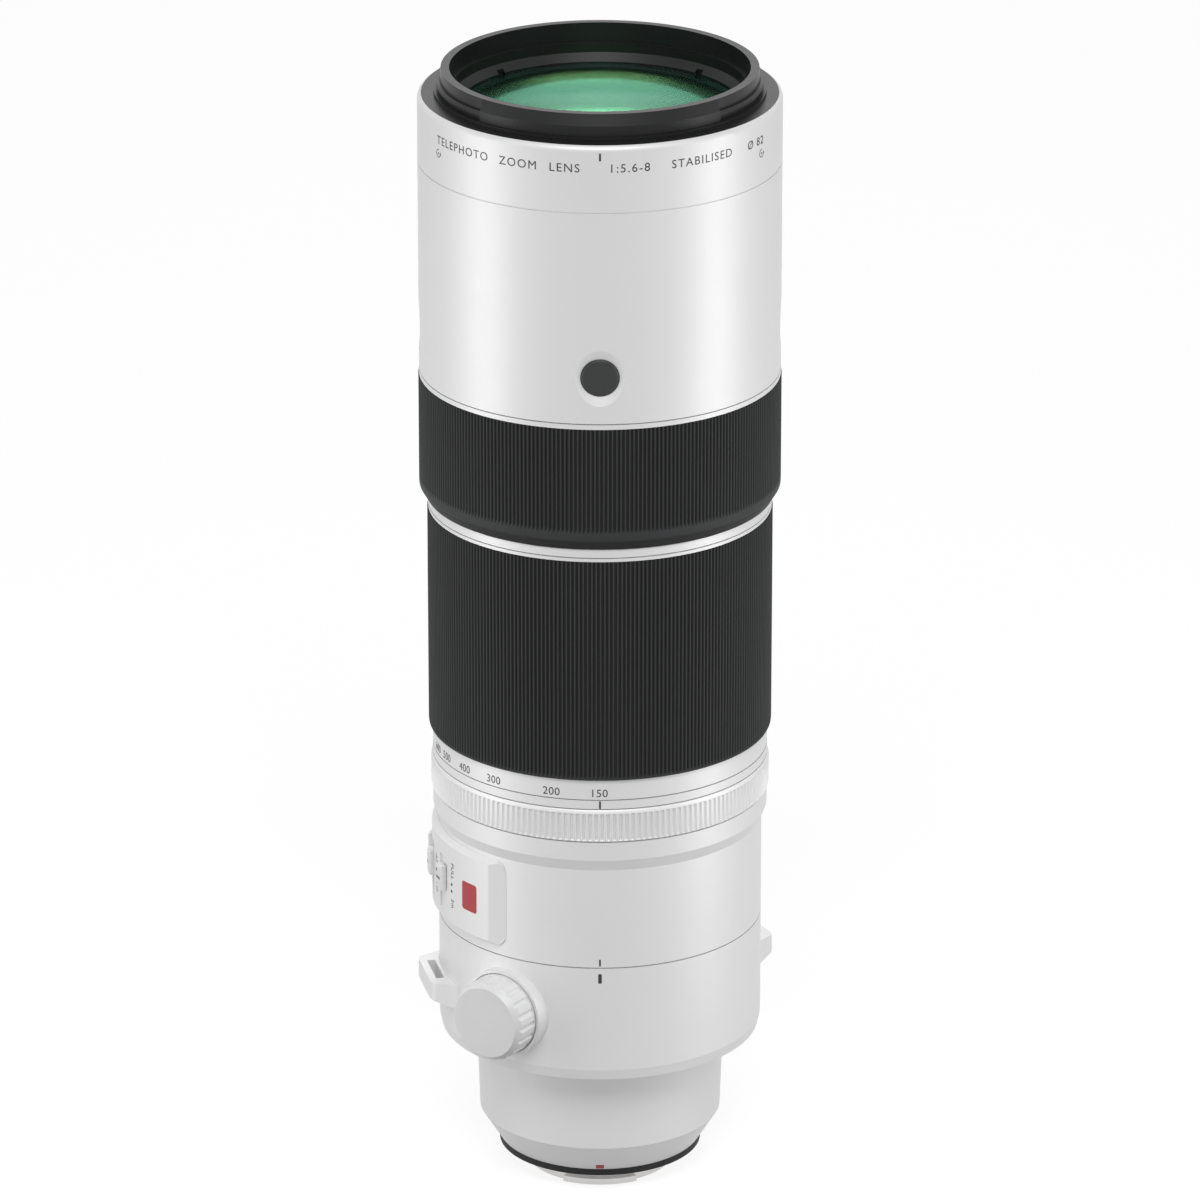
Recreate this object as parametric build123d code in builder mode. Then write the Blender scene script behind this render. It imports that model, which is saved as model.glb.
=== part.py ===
from build123d import *
from math import asin, cos, degrees, hypot, radians, sin, sqrt
import os

# Telephoto zoom lens for a mirrorless camera, standing on its mount.
# The origin is the centre of the mount's flange face. +Z runs along the optical axis towards
# the front, and the index marks lie on the -Y side. A turn is an angle in degrees round the
# axis, counted from the index marks towards -X.

# Clearances
run_gap = 0.3  # between a moving piece and the piece beside it
bearing_gap = 0.05  # radial running fit of a turning ring on its seat
fit_gap = 0.05  # radial fit of one fixed piece in another
slide_gap = 0.1  # a pin, plunger or slider in its guide
cut_over = 1.0  # how far a cutting shape runs past what it cuts

# Heights of the bands that show, from the flange up
seal_height = 2.1
cone_height = 8.7
neck_height = 25.7
collar_height = 33.4
drum_height = 28.9
step_height = 3.4
band_height = 5.3
aperture_height = 9.3
index_height = 2.4
scale_height = 5.9
zoom_grip_height = 63.4
zoom_band_height = 0.9
spacer_height = 2.3
focus_lip_height = 3.2
focus_grip_height = 31.5
focus_band_height = 1.3
front_drum_height = 76.1
edge_height = 1.6
rim_height = 7.0

# Levels worked out from those heights
z_cone = seal_height
z_neck = z_cone + cone_height
z_collar = z_neck + neck_height
z_collar_top = z_collar + collar_height
z_drum = z_collar_top + run_gap
z_step = z_drum + drum_height
z_band = z_step + step_height
z_band_top = z_band + band_height
z_aperture = z_band_top + run_gap
z_aperture_top = z_aperture + aperture_height
z_index = z_aperture_top + run_gap
z_index_top = z_index + index_height
z_scale = z_index_top + run_gap
z_zoom_grip = z_scale + scale_height
z_zoom_grip_top = z_zoom_grip + zoom_grip_height
z_zoom_top = z_zoom_grip_top + zoom_band_height
z_spacer = z_zoom_top + run_gap
z_spacer_top = z_spacer + spacer_height
z_focus = z_spacer_top + run_gap
z_focus_grip = z_focus + focus_lip_height
z_focus_grip_top = z_focus_grip + focus_grip_height
z_focus_top = z_focus_grip_top + focus_band_height
z_front = z_focus_top + run_gap
z_edge = z_front + front_drum_height
z_plate = z_edge + edge_height
z_rim = z_plate + rim_height

# Outer radii, each a small step in from the widest ring
focus_grip_r = 49.5
front_inset = 0.2
edge_inset = 1.05
spacer_inset = 2.4
zoom_inset = 2.15
scale_inset = 1.15
aperture_inset = 0.6
band_inset = 0.5
drum_inset = 1.4
collar_bevel_inset = 0.65
collar_bevel_height = 3.0
front_r = focus_grip_r - front_inset
plate_r = front_r - edge_inset - fit_gap
spacer_r = focus_grip_r - spacer_inset
zoom_grip_r = focus_grip_r - zoom_inset
scale_r = zoom_grip_r - scale_inset
aperture_r = zoom_grip_r - aperture_inset
band_r = aperture_r - band_inset
drum_r = band_r - drum_inset

# Walls, from the grips inwards
focus_grip_wall = 2.2
focus_lip_wall = 0.3
focus_ring_wall = 1.05
zoom_grip_wall = 1.5
zoom_ring_wall = 2.25
sleeve_wall = 2.0
cam_room = 4.7
cam_wall = 1.85
guide_wall = 1.85
front_wall = 2.2
collar_wall = 2.8
rear_wall = 2.2
focus_ring_r = focus_grip_r - focus_grip_wall - fit_gap
focus_seat_r = focus_ring_r - focus_ring_wall - bearing_gap
zoom_ring_r = zoom_grip_r - zoom_grip_wall - fit_gap
sleeve_r = zoom_ring_r - zoom_ring_wall - bearing_gap
sleeve_bore_r = sleeve_r - sleeve_wall
cam_r = sleeve_bore_r - cam_room
guide_r = cam_r - cam_wall - bearing_gap
guide_bore_r = guide_r - guide_wall
front_bore_r = front_r - front_wall
collar_seat_r = drum_r - collar_wall - bearing_gap
rear_bore_r = collar_seat_r - rear_wall

# Front ring, with its filter thread and hood bayonet
thread_inset = 8.7
thread_r = front_r - thread_inset
thread_depth = 5.4
rim_wall = 2.3
rim_flare = 1.2
rim_lip_height = 1.0
rim_lip_out = 0.7
groove_height = 1.5
groove_depth = 0.9
rib_height = 1.4
rim_draft = 0.3
front_plate_thick = 2.0
ledge_depth = 1.0
lug_angle = 93.0
web_thick = 3.2

# Front lens group and its cell
glass_inset = 1.7
glass_r = thread_r - glass_inset
glass_rim_height = 6.6
glass_rise = 5.2
glass_back_rise = 1.0
glass_clear_margin = 1.1
second_glass_inset = 0.5
second_rim_height = 8.6
second_rise = 2.6
second_back_rise = 2.4
glass_shoulder = 1.7
glass_shoulder_height = 2.6
cell_wall = 3.2
cell_flange_height = 3.0
cell_foot_height = 2.5
retainer_rise = 2.6
retainer_lip = 0.4
notch_count = 4
notch_angle = 45.0
notch_width = 2.4
notch_depth = 0.8

# Focus buttons in the front drum
button_count = 4
button_r = 5.2
button_level = 12.8
button_sunk = 0.4
button_flange_out = 1.4
button_flange_thick = 0.8
button_stem_r = 2.0
button_stem_length = 2.4
button_edge = 0.5
dish_r = 7.85
dish_depth = 0.85
seam_level = 59.0
seam_height = 0.3
seam_depth = 0.25

# Zoom drive: cam barrel, guide barrel and the two zoom groups
zoom_turn = 75.0
follower_count = 3
follower_r = 2.5
follower_turn = 30.0
key_turn = 180.0
key_width = 8.0
key_height = 6.0
key_lift = 2.6
key_sunk = 1.2
key_margin_angle = 1.0
guide_flange_thick = 3.0
guide_top_inset = 1.5
cam_top_inset = 3.5
slot_end_room = 3.0
zoom_cell_gap = 0.25
zoom_cell_wall = 4.0
variator_level = 55.0
variator_travel = 40.0
variator_height = 14.0
variator_rim_height = 7.0
variator_rise = -2.2
variator_back_rise = 2.6
compensator_level = 26.2
compensator_travel = 15.0
compensator_height = 12.0
compensator_rim_height = 6.0
compensator_rise = 2.4
compensator_back_rise = -1.8
seat_lip = 1.2

# Iris: housing, drive ring and blades
blade_count = 9
iris_depth = 12.8
iris_web_thick = 2.0
iris_flange_height = 2.0
iris_wall = 3.0
iris_cavity_inset = 6.8
iris_cavity_r = rear_bore_r - iris_cavity_inset
pivot_inset = 4.0
pivot_circle_r = iris_cavity_r - pivot_inset
pivot_r = 1.0
pivot_pad_r = 2.3
blade_inset = 0.7
blade_edge_gap = 0.4
blade_span_angle = 76.0
blade_thick = 0.2
blade_gap = 0.3
drive_arm = 4.2
drive_pin_r = 0.9
drive_pad_r = 1.8
drive_ring_thick = 1.5
drive_ring_inset = 4.6
drive_ring_bore_r = pivot_circle_r - drive_ring_inset
iris_open_share = 0.5
iris_open_r = iris_open_share * pivot_circle_r
blade_width = drive_ring_bore_r - blade_edge_gap - blade_inset - iris_open_r
drive_turn = 24.0
blade_ratio = 1.25

# Stabiliser, focus group and rear group
stabiliser_inset = 4.0
stabiliser_r = iris_cavity_r - stabiliser_inset
stabiliser_height = 5.7
stabiliser_bore_inset = 1.5
stabiliser_bore_r = iris_open_r - stabiliser_bore_inset
stabiliser_rim_height = 4.0
stabiliser_rise = 1.6
stabiliser_back_rise = -1.2
rod_circle_inset = 5.3
rod_circle_r = rear_bore_r - rod_circle_inset
focus_cell_inset = 3.9
focus_cell_r = rod_circle_r - focus_cell_inset
focus_bore_share = 0.5
focus_cell_bore_r = focus_bore_share * rod_circle_r
focus_cell_height = 8.0
focus_rim_height = 4.4
focus_rise = -1.5
focus_back_rise = 1.8
focus_travel = 14.0
rod_r = 1.5
rod_shoulder_out = 0.9
ear_wall = 1.6
rod_count = 2
rod_turn = 0.0
yoke_width = 12.0
yoke_depth = 6.0
yoke_end_room = 2.0
yoke_slot_width = 3.4
yoke_slot_depth = 4.2
coil_width = 2.2
coil_gap = 0.4
yoke_gap = 0.9
yoke_board_gap = 4.4
board_thick = 1.6
board_width = 17.8
board_bore_r = rear_bore_r - board_width
board_edge_gap = 0.4
rear_rim_height = 3.2
rear_rise = 1.4
rear_back_rise = -0.9

# Mount barrel and bayonet
neck_inset = 7.4
neck_r = collar_seat_r - neck_inset
neck_taper = 0.9
neck_wall = 2.4
mount_r = 27.2
seal_wall = 1.0
seal_lift = 0.2
mount_foot_thick = 3.6
neck_flange_out = 1.2
neck_flange_height = 2.2
spigot_height = 5.3
spigot_wall = 2.3
bayonet_length = 5.6
bayonet_share = 0.75
bayonet_r = bayonet_share * mount_r
bayonet_wall = 2.0
bayonet_bore_r = bayonet_r - bayonet_wall
claw_out = 1.4
claw_thick = 1.7
claw_count = 3
claw_angle = 56.0
mount_screw_count = 4
mount_screw_inset = 3.1
mount_screw_circle_r = mount_r - mount_screw_inset
mount_screw_r = 0.9
mount_screw_head_r = 1.7
mount_screw_head_height = 1.1
mount_screw_length = 5.0
mount_screw_sunk = 0.1
mount_screw_turn = 38.0
lock_hole_r = 1.3
lock_hole_depth = 1.2
lock_hole_turn = 90.0
contact_turn = 180.0
contact_arc_angle = 84.0
rear_glass_share = 0.5
rear_glass_r = rear_glass_share * mount_r
contact_inset = 1.7
contact_inner_r = rear_glass_r + contact_inset
contact_drop = 4.7
contact_count = 10
contact_pin_r = 0.6
contact_pin_out = 0.3
contact_pin_length = 1.6
contact_pitch_angle = 7.6
baffle_wall = 1.2
baffle_depth = 2.0
baffle_side_inset = 2.6
baffle_top_inset = 6.1
baffle_ledge = 1.0
rear_glass_level = -0.6

# Switch panel, its three slide switches and its push button
panel_lift = 2.6
panel_top_inset = 1.1
panel_height = drum_height - panel_lift - panel_top_inset
panel_rise = 1.85
panel_slope_height = 1.25
panel_arc_angle = 110.0
panel_end_angle = 6.0
panel_corner_r = 4.0
panel_turn = 90.0
switch_turns = (68.0, 83.0, 98.0)
switch_recess_length = 16.4
switch_recess_width = 5.0
switch_recess_depth = 0.5
switch_recess_level = 11.3
knob_length = 7.4
knob_width = 3.4
knob_rise = 1.5
knob_level = 13.1
knob_edge = 0.6
knob_stem_width = 1.6
knob_stem_length = 2.4
knob_stem_sunk = 0.95
switch_travel = 2.0
set_button_turn = 114.0
set_button_r = 2.6
set_button_rise = 0.6
set_button_travel = 0.5
set_button_flange_out = 0.5
set_button_flange_thick = 0.4

# Tripod collar, its clamp, strap lugs and foot
clamp_turn = 34.5
clamp_lift = 1.1
clamp_boss_r = 12.5
clamp_boss_out = 3.0
clamp_boss_lip = 0.8
clamp_knob_height = 8.6
clamp_knob_r = 11.4
clamp_face_r = 10.0
clamp_chamfer_height = 1.7
flute_count = 20
flute_r = 1.1
flute_depth = 0.45
stud_r = 2.5
lug_turns = (77.5, -118.0)
lug_top_level = 18.5
lug_root_height = 7.4
lug_tip_height = 5.0
lug_reach = 5.2
lug_root_width = 26.0
lug_tip_width = 19.5
lug_slot_width = 2.3
lug_slot_length = 13.0
lug_bar = 2.0
lug_rounding = 2.5
pad_width = 38.0
pad_margin = 2.7
pad_height = collar_height - 2 * pad_margin
pad_out = 3.2
foot_flange_thick = 4.5
foot_neck_width = 22.0
foot_drop = 40.0
foot_length = 100.0
foot_shift = 17.0
foot_plate_thick = 10.0
foot_width = 38.0
dovetail_land = 1.5
dovetail_depth = 3.0
foot_neck_spread_share = 0.3
foot_screw_side_margin = 4.0
foot_screw_end_margin = 5.0
foot_screw_spacing_x = pad_width - 2 * foot_screw_side_margin
foot_screw_spacing_z = pad_height - 2 * foot_screw_end_margin
foot_screw_r = 2.0
foot_screw_head_r = 3.3
foot_screw_head_height = 4.0
foot_screw_length = 9.0
tripod_hole_r = 3.175
tripod_hole_depth = 8.0
tripod_hole_offset = 25.0


def outward_angle(turn):
    """Angle from +X of the direction that points out from the axis at a turn."""
    return radians(-90 - turn)


def radial_plane(turn):
    """Upright plane through the axis: x runs outward at the turn and y runs up."""
    angle = outward_angle(turn)
    return Plane(origin=(0, 0, 0), x_dir=(cos(angle), sin(angle), 0), z_dir=(sin(angle), -cos(angle), 0))


def facing_plane(turn, radius, level):
    """Plane square to the radius at a turn: z points outward and y runs up."""
    angle = outward_angle(turn)
    return Plane(
        origin=(radius * cos(angle), radius * sin(angle), level),
        x_dir=(-sin(angle), cos(angle), 0),
        z_dir=(cos(angle), sin(angle), 0),
    )


def point_at(turn, radius):
    """Plan point on a circle round the axis."""
    angle = outward_angle(turn)
    return (radius * cos(angle), radius * sin(angle))


def lathe(*outline, mode=Mode.ADD):
    """Turn an outline of (radius, level) points about the optical axis."""
    with BuildSketch(Plane.XZ) as section:
        with BuildLine():
            Polyline(*outline, close=True)
        make_face()
    revolve(section.sketch, axis=Axis.Z, mode=mode)


def sector(outline, turn, arc, mode=Mode.ADD):
    """Turn an outline about the axis through an arc that is centred on a turn."""
    with BuildSketch(radial_plane(turn + arc / 2)) as section:
        with BuildLine():
            Polyline(*outline, close=True)
        make_face()
    revolve(section.sketch, axis=Axis.Z, revolution_arc=arc, mode=mode)


def tube(inner_r, outer_r, bottom, top, mode=Mode.ADD):
    """Plain ring between two radii and two levels."""
    with BuildSketch(Plane.XY.offset(bottom)) as section:
        Circle(outer_r)
        Circle(inner_r, mode=Mode.SUBTRACT)
    extrude(section.sketch, amount=top - bottom, mode=mode)


def rod(plane, radius, length, mode=Mode.ADD):
    """Round rod that stands on a plane."""
    with BuildSketch(plane) as section:
        Circle(radius)
    extrude(section.sketch, amount=length, mode=mode)


def block(plane, width, height, length, mode=Mode.ADD):
    """Square-edged block that stands on a plane."""
    with BuildSketch(plane) as section:
        Rectangle(width, height)
    extrude(section.sketch, amount=length, mode=mode)


def bulge(radius, rim_r, rise):
    """Height of a spherical face over its rim, at a radius."""
    curve = (rim_r**2 + rise**2) / (2 * rise)
    side = 1 if rise > 0 else -1
    return rise - curve + side * sqrt(curve**2 - radius**2)


def rim_level(rim_r, lip, seat_level, back_rise):
    """Level of a lens rim whose rear face rests on the inner edge of a lip."""
    return seat_level - min(0, bulge(rim_r - lip, rim_r, back_rise))


def glass(rim_r, bottom, rim_height, rise, back_rise):
    """Lens element with spherical faces. A rise is how far the middle stands above the rim."""
    top = bottom + rim_height
    half = rim_r / 2
    with BuildPart() as element:
        with BuildSketch(Plane.XZ) as section:
            with BuildLine():
                Line((0, top + rise), (0, bottom + back_rise))
                ThreePointArc(
                    (0, bottom + back_rise),
                    (half, bottom + bulge(half, rim_r, back_rise)),
                    (rim_r, bottom),
                )
                Line((rim_r, bottom), (rim_r, top))
                ThreePointArc(
                    (rim_r, top), (half, top + bulge(half, rim_r, rise)), (0, top + rise)
                )
            make_face()
        revolve(section.sketch, axis=Axis.Z)
    return element.part


def save(name, part):
    """Label a finished piece and write it."""
    part.label = name
    export_step(part, f"parts/{name}.step")


os.makedirs("parts", exist_ok=True)

# Front barrel: the white drum, its inner web and the seat that the focus ring turns on
sleeve_fit_r = sleeve_r + fit_gap
plate_seat = z_plate - front_plate_thick
lip_bottom = plate_seat - front_plate_thick
lip_r = thread_r + rim_wall + rim_flare + rim_lip_out
button_axis = z_front + button_level
seam_bottom = z_front + seam_level
with BuildPart() as front_barrel:
    with BuildSketch(Plane.XZ) as section:
        with BuildLine():
            Polyline(
                (focus_seat_r, z_front),
                (front_r, z_front),
                (front_r, seam_bottom),
                (front_r - seam_depth, seam_bottom),
                (front_r - seam_depth, seam_bottom + seam_height),
                (front_r, seam_bottom + seam_height),
                (front_r, z_edge),
            )
            TangentArc((front_r, z_edge), (front_r - edge_inset, z_plate), tangent=(0, 1))
            Polyline(
                (front_r - edge_inset, z_plate),
                (plate_r + fit_gap, plate_seat),
                (lip_r + fit_gap, plate_seat),
                (lip_r + fit_gap, lip_bottom),
                (front_bore_r, lip_bottom),
                (front_bore_r, z_front + web_thick),
                (guide_r + fit_gap, z_front + web_thick),
                (guide_r + fit_gap, z_front),
                (sleeve_fit_r, z_front),
                (sleeve_fit_r, z_spacer_top),
                (focus_seat_r, z_spacer_top),
                (focus_seat_r, z_front),
            )
        make_face()
    revolve(section.sketch, axis=Axis.Z)
    for number in range(button_count):
        seat = facing_plane(number * 360 / button_count, front_r - dish_depth, button_axis)
        hole_r = button_r + slide_gap
        slope = (dish_r - hole_r) / dish_depth
        with Locations(seat):
            Cone(
                bottom_radius=hole_r,
                top_radius=dish_r + slope * cut_over,
                height=dish_depth + cut_over,
                align=(Align.CENTER, Align.CENTER, Align.MIN),
                mode=Mode.SUBTRACT,
            )
        rod(seat.offset(-front_wall - cut_over), hole_r, front_wall + 2 * cut_over, Mode.SUBTRACT)
save("front_barrel", front_barrel.part)

# Front ring: filter thread, hood bayonet ribs with two solid lugs, and the black plate
rim_top_r = thread_r + rim_wall
rim_foot_r = rim_top_r + rim_flare
lip_level = z_plate + rim_lip_height
groove_r = rim_foot_r - groove_depth
rib_bottom = lip_level + groove_height
rib_top = rib_bottom + rib_height
wall_r = rim_top_r + rim_draft
thread_bottom = z_rim - thread_depth
ledge_r = thread_r - ledge_depth
with BuildPart() as filter_ring:
    lathe(
        (thread_r, z_rim),
        (rim_top_r, z_rim),
        (wall_r, rib_top),
        (rim_foot_r, rib_top),
        (rim_foot_r, rib_bottom),
        (groove_r, rib_bottom),
        (groove_r, lip_level),
        (lip_r, lip_level),
        (lip_r, z_plate),
        (plate_r, z_plate),
        (plate_r, plate_seat),
        (lip_r, plate_seat),
        (lip_r, lip_bottom),
        (ledge_r, lip_bottom),
        (ledge_r, thread_bottom),
        (thread_r, thread_bottom),
    )
    for turn in (0, 180):
        sector(
            [
                (thread_r + rim_draft, lip_level - rim_draft),
                (rim_foot_r, lip_level - rim_draft),
                (rim_foot_r, rib_top),
                (rim_top_r, z_rim),
                (thread_r + rim_draft, z_rim),
            ],
            turn,
            lug_angle,
        )
save("filter_ring", filter_ring.part)

# Front lens group: two elements in their cell, held by a notched ring
glass_rim_top = lip_bottom - fit_gap
glass_rim_bottom = glass_rim_top - glass_rim_height
shoulder_bottom = glass_rim_bottom - glass_shoulder_height
second_r = glass_r - second_glass_inset
second_top = shoulder_bottom - bulge(glass_r - glass_shoulder, second_r, second_rise)
second_bottom = second_top - second_rim_height
cell_r = glass_r + cell_wall
with BuildPart() as front_cell:
    lathe(
        (glass_r + fit_gap, lip_bottom),
        (front_bore_r - fit_gap, lip_bottom),
        (front_bore_r - fit_gap, lip_bottom - cell_flange_height),
        (cell_r, lip_bottom - cell_flange_height),
        (cell_r, second_bottom - cell_foot_height),
        (second_r + fit_gap, second_bottom - cell_foot_height),
        (second_r + fit_gap, shoulder_bottom),
        (glass_r - glass_shoulder, shoulder_bottom),
        (glass_r - glass_shoulder, glass_rim_bottom),
        (glass_r + fit_gap, glass_rim_bottom),
    )
save("front_cell", front_cell.part)

front_element = glass(glass_r, glass_rim_bottom, glass_rim_height, glass_rise, glass_back_rise)
save("front_element", front_element)
second_element = glass(second_r, second_bottom, second_rim_height, second_rise, second_back_rise)
save("second_element", second_element)

clear_r = glass_r - glass_clear_margin
seat_level = glass_rim_top + bulge(clear_r, glass_r, glass_rise) + fit_gap / 2
with BuildPart() as front_retaining_ring:
    lathe(
        (clear_r, seat_level),
        (ledge_r - fit_gap, seat_level),
        (ledge_r - fit_gap, seat_level + retainer_rise),
        (clear_r, seat_level + retainer_lip),
    )
    for number in range(notch_count):
        turn = notch_angle + number * 360 / notch_count
        block(
            facing_plane(turn, clear_r - cut_over, seat_level + retainer_rise / 2),
            notch_width,
            retainer_rise + cut_over,
            notch_depth + cut_over,
            Mode.SUBTRACT,
        )
save("front_retaining_ring", front_retaining_ring.part)

# Four identical focus buttons, each a plunger with a flange behind the drum's wall
button_face = front_r - button_sunk
flange_face = sqrt(front_bore_r**2 - (button_r + button_flange_out) ** 2) - run_gap
for number, place in enumerate(("front", "left", "back", "right")):
    inner_face = facing_plane(number * 360 / button_count, flange_face, button_axis)
    with BuildPart() as button:
        rod(inner_face, button_r, button_face - flange_face)
        outward = Axis(inner_face.origin, inner_face.z_dir)
        chamfer(button.faces().sort_by(outward)[-1].edges(), button_edge)
        rod(
            inner_face.offset(-button_flange_thick),
            button_r + button_flange_out,
            button_flange_thick,
        )
        rod(
            inner_face.offset(-button_flange_thick - button_stem_length),
            button_stem_r,
            button_stem_length,
        )
    save(f"focus_button_{place}", button.part)

# Focus ring with its white top band, and the rubber grip with a chamfered lower lip
with BuildPart() as focus_ring:
    lathe(
        (focus_seat_r + bearing_gap, z_focus),
        (focus_ring_r, z_focus),
        (focus_ring_r, z_focus_grip_top),
        (front_r, z_focus_grip_top),
        (front_r, z_focus_top),
        (focus_seat_r + bearing_gap, z_focus_top),
    )
save("focus_ring", focus_ring.part)

lip_foot_r = focus_ring_r + fit_gap + focus_lip_wall
with BuildPart() as focus_grip:
    lathe(
        (focus_ring_r + fit_gap, z_focus),
        (lip_foot_r, z_focus),
        (focus_grip_r, z_focus_grip),
        (focus_grip_r, z_focus_grip_top),
        (focus_ring_r + fit_gap, z_focus_grip_top),
    )
save("focus_grip", focus_grip.part)

# White band between the focus and zoom rings, fixed on the sleeve
with BuildPart() as spacer_ring:
    tube(sleeve_r + fit_gap, spacer_r, z_spacer, z_spacer_top)
save("spacer_ring", spacer_ring.part)

# Zoom ring: scale band, grip seat, top band, and the key that turns the cam barrel
key_level = z_zoom_grip + key_lift
key_inner_r = cam_r - key_sunk
with BuildPart() as zoom_ring:
    lathe(
        (sleeve_r + bearing_gap, z_scale),
        (scale_r, z_scale),
        (scale_r, z_zoom_grip),
        (zoom_ring_r, z_zoom_grip),
        (zoom_ring_r, z_zoom_grip_top),
        (spacer_r, z_zoom_grip_top),
        (spacer_r, z_zoom_top),
        (sleeve_r + bearing_gap, z_zoom_top),
    )
    block(
        facing_plane(key_turn, key_inner_r, key_level + key_height / 2),
        key_width,
        key_height,
        sleeve_r + zoom_ring_wall / 2 - key_inner_r,
    )
save("zoom_ring", zoom_ring.part)

with BuildPart() as zoom_grip:
    tube(zoom_ring_r + fit_gap, zoom_grip_r, z_zoom_grip, z_zoom_grip_top)
save("zoom_grip", zoom_grip.part)

# Guide barrel with straight slots: the zoom groups slide in it and the cam barrel turns on it
guide_bottom = z_band_top - guide_flange_thick
guide_top = z_front + web_thick - guide_top_inset
variator_bottom = z_band_top + variator_level
compensator_bottom = z_band_top + compensator_level
variator_axis = variator_bottom + variator_height / 2
compensator_axis = compensator_bottom + compensator_height / 2
slot_bottom = compensator_axis - follower_r - slot_end_room
slot_top = variator_axis + variator_travel + follower_r + slot_end_room
follower_turns = [follower_turn + number * 360 / follower_count for number in range(follower_count)]
with BuildPart() as guide_barrel:
    tube(guide_bore_r, guide_r, guide_bottom, guide_top)
    tube(guide_bore_r, sleeve_bore_r - fit_gap, guide_bottom, z_band_top)
    for turn in follower_turns:
        block(
            facing_plane(turn, guide_bore_r - cut_over, (slot_bottom + slot_top) / 2),
            2 * (follower_r + slide_gap),
            slot_top - slot_bottom,
            guide_wall + 2 * cut_over,
            Mode.SUBTRACT,
        )
save("guide_barrel", guide_barrel.part)

# Cam barrel: three helical slots for each zoom group, and a notch for the zoom ring's key
cam_bottom = z_band_top + run_gap
cam_top = z_front - cam_top_inset
cam_slots = ((variator_axis, variator_travel), (compensator_axis, compensator_travel))
cam_slot_r = follower_r + run_gap
with BuildPart() as cam_barrel:
    tube(cam_r - cam_wall, cam_r, cam_bottom, cam_top)
    for level, travel in cam_slots:
        for turn in follower_turns:
            rise = 360 / zoom_turn * travel
            # The slot climbs to the left of the follower as the ring turns to the right
            helix = Helix(
                pitch=rise,
                height=travel,
                radius=cam_r - cam_wall / 2,
                center=(0, 0, level),
                lefthand=True,
                mode=Mode.PRIVATE,
            )
            with BuildLine() as path:
                add(helix.rotate(Axis.Z, -90 - turn))
            start = Plane(
                origin=path.line @ 0,
                x_dir=(cos(outward_angle(turn)), sin(outward_angle(turn)), 0),
                z_dir=path.line % 0,
            )
            with BuildSketch(start) as groove:
                Rectangle(cam_wall + 2 * cut_over, 2 * cam_slot_r)
            sweep(groove.sketch, path=path.line, is_frenet=True, mode=Mode.SUBTRACT)
            for end_level, end_turn in ((level, turn), (level + travel, turn + zoom_turn)):
                rod(
                    facing_plane(end_turn, cam_r - cam_wall - cut_over, end_level),
                    cam_slot_r + fit_gap,
                    cam_wall + 2 * cut_over,
                    Mode.SUBTRACT,
                )
    block(
        facing_plane(key_turn, key_inner_r, key_level + key_height / 2),
        key_width + 2 * fit_gap,
        key_height + 2 * fit_gap,
        key_sunk + cut_over,
        Mode.SUBTRACT,
    )
save("cam_barrel", cam_barrel.part)


def zoom_cell(bottom, height, rim_height):
    """Cell of a zoom group with its seat for the glass and its three followers."""
    cell_outer_r = guide_bore_r - zoom_cell_gap
    seat_r = cell_outer_r - zoom_cell_wall
    seat_bottom = bottom + (height - rim_height) / 2
    with BuildPart() as cell:
        lathe(
            (seat_r - seat_lip, bottom),
            (cell_outer_r, bottom),
            (cell_outer_r, bottom + height),
            (seat_r + fit_gap, bottom + height),
            (seat_r + fit_gap, seat_bottom),
            (seat_r - seat_lip, seat_bottom),
        )
        for turn in follower_turns:
            rod(
                facing_plane(turn, cell_outer_r - zoom_cell_wall / 2, bottom + height / 2),
                follower_r,
                cam_r - run_gap - cell_outer_r + zoom_cell_wall / 2,
            )
    return cell.part


def zoom_glass(bottom, height, rim_height, rise, back_rise):
    """Lens element that sits in a zoom group's cell."""
    rim_r = guide_bore_r - zoom_cell_gap - zoom_cell_wall
    seat_level = bottom + (height - rim_height) / 2
    level = rim_level(rim_r, seat_lip, seat_level, back_rise)
    return glass(rim_r, level, rim_height, rise, back_rise)


variator_cell = zoom_cell(variator_bottom, variator_height, variator_rim_height)
save("variator_cell", variator_cell)
variator_element = zoom_glass(
    variator_bottom, variator_height, variator_rim_height, variator_rise, variator_back_rise
)
save("variator_element", variator_element)

compensator_cell = zoom_cell(compensator_bottom, compensator_height, compensator_rim_height)
save("compensator_cell", compensator_cell)
compensator_element = zoom_glass(
    compensator_bottom,
    compensator_height,
    compensator_rim_height,
    compensator_rise,
    compensator_back_rise,
)
save("compensator_element", compensator_element)

# Index ring, fixed, and the endless aperture ring below it
with BuildPart() as index_ring:
    tube(sleeve_r + fit_gap, band_r, z_index, z_index_top)
save("index_ring", index_ring.part)

with BuildPart() as aperture_ring:
    tube(sleeve_r + bearing_gap, aperture_r, z_aperture, z_aperture_top)
save("aperture_ring", aperture_ring.part)

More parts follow.
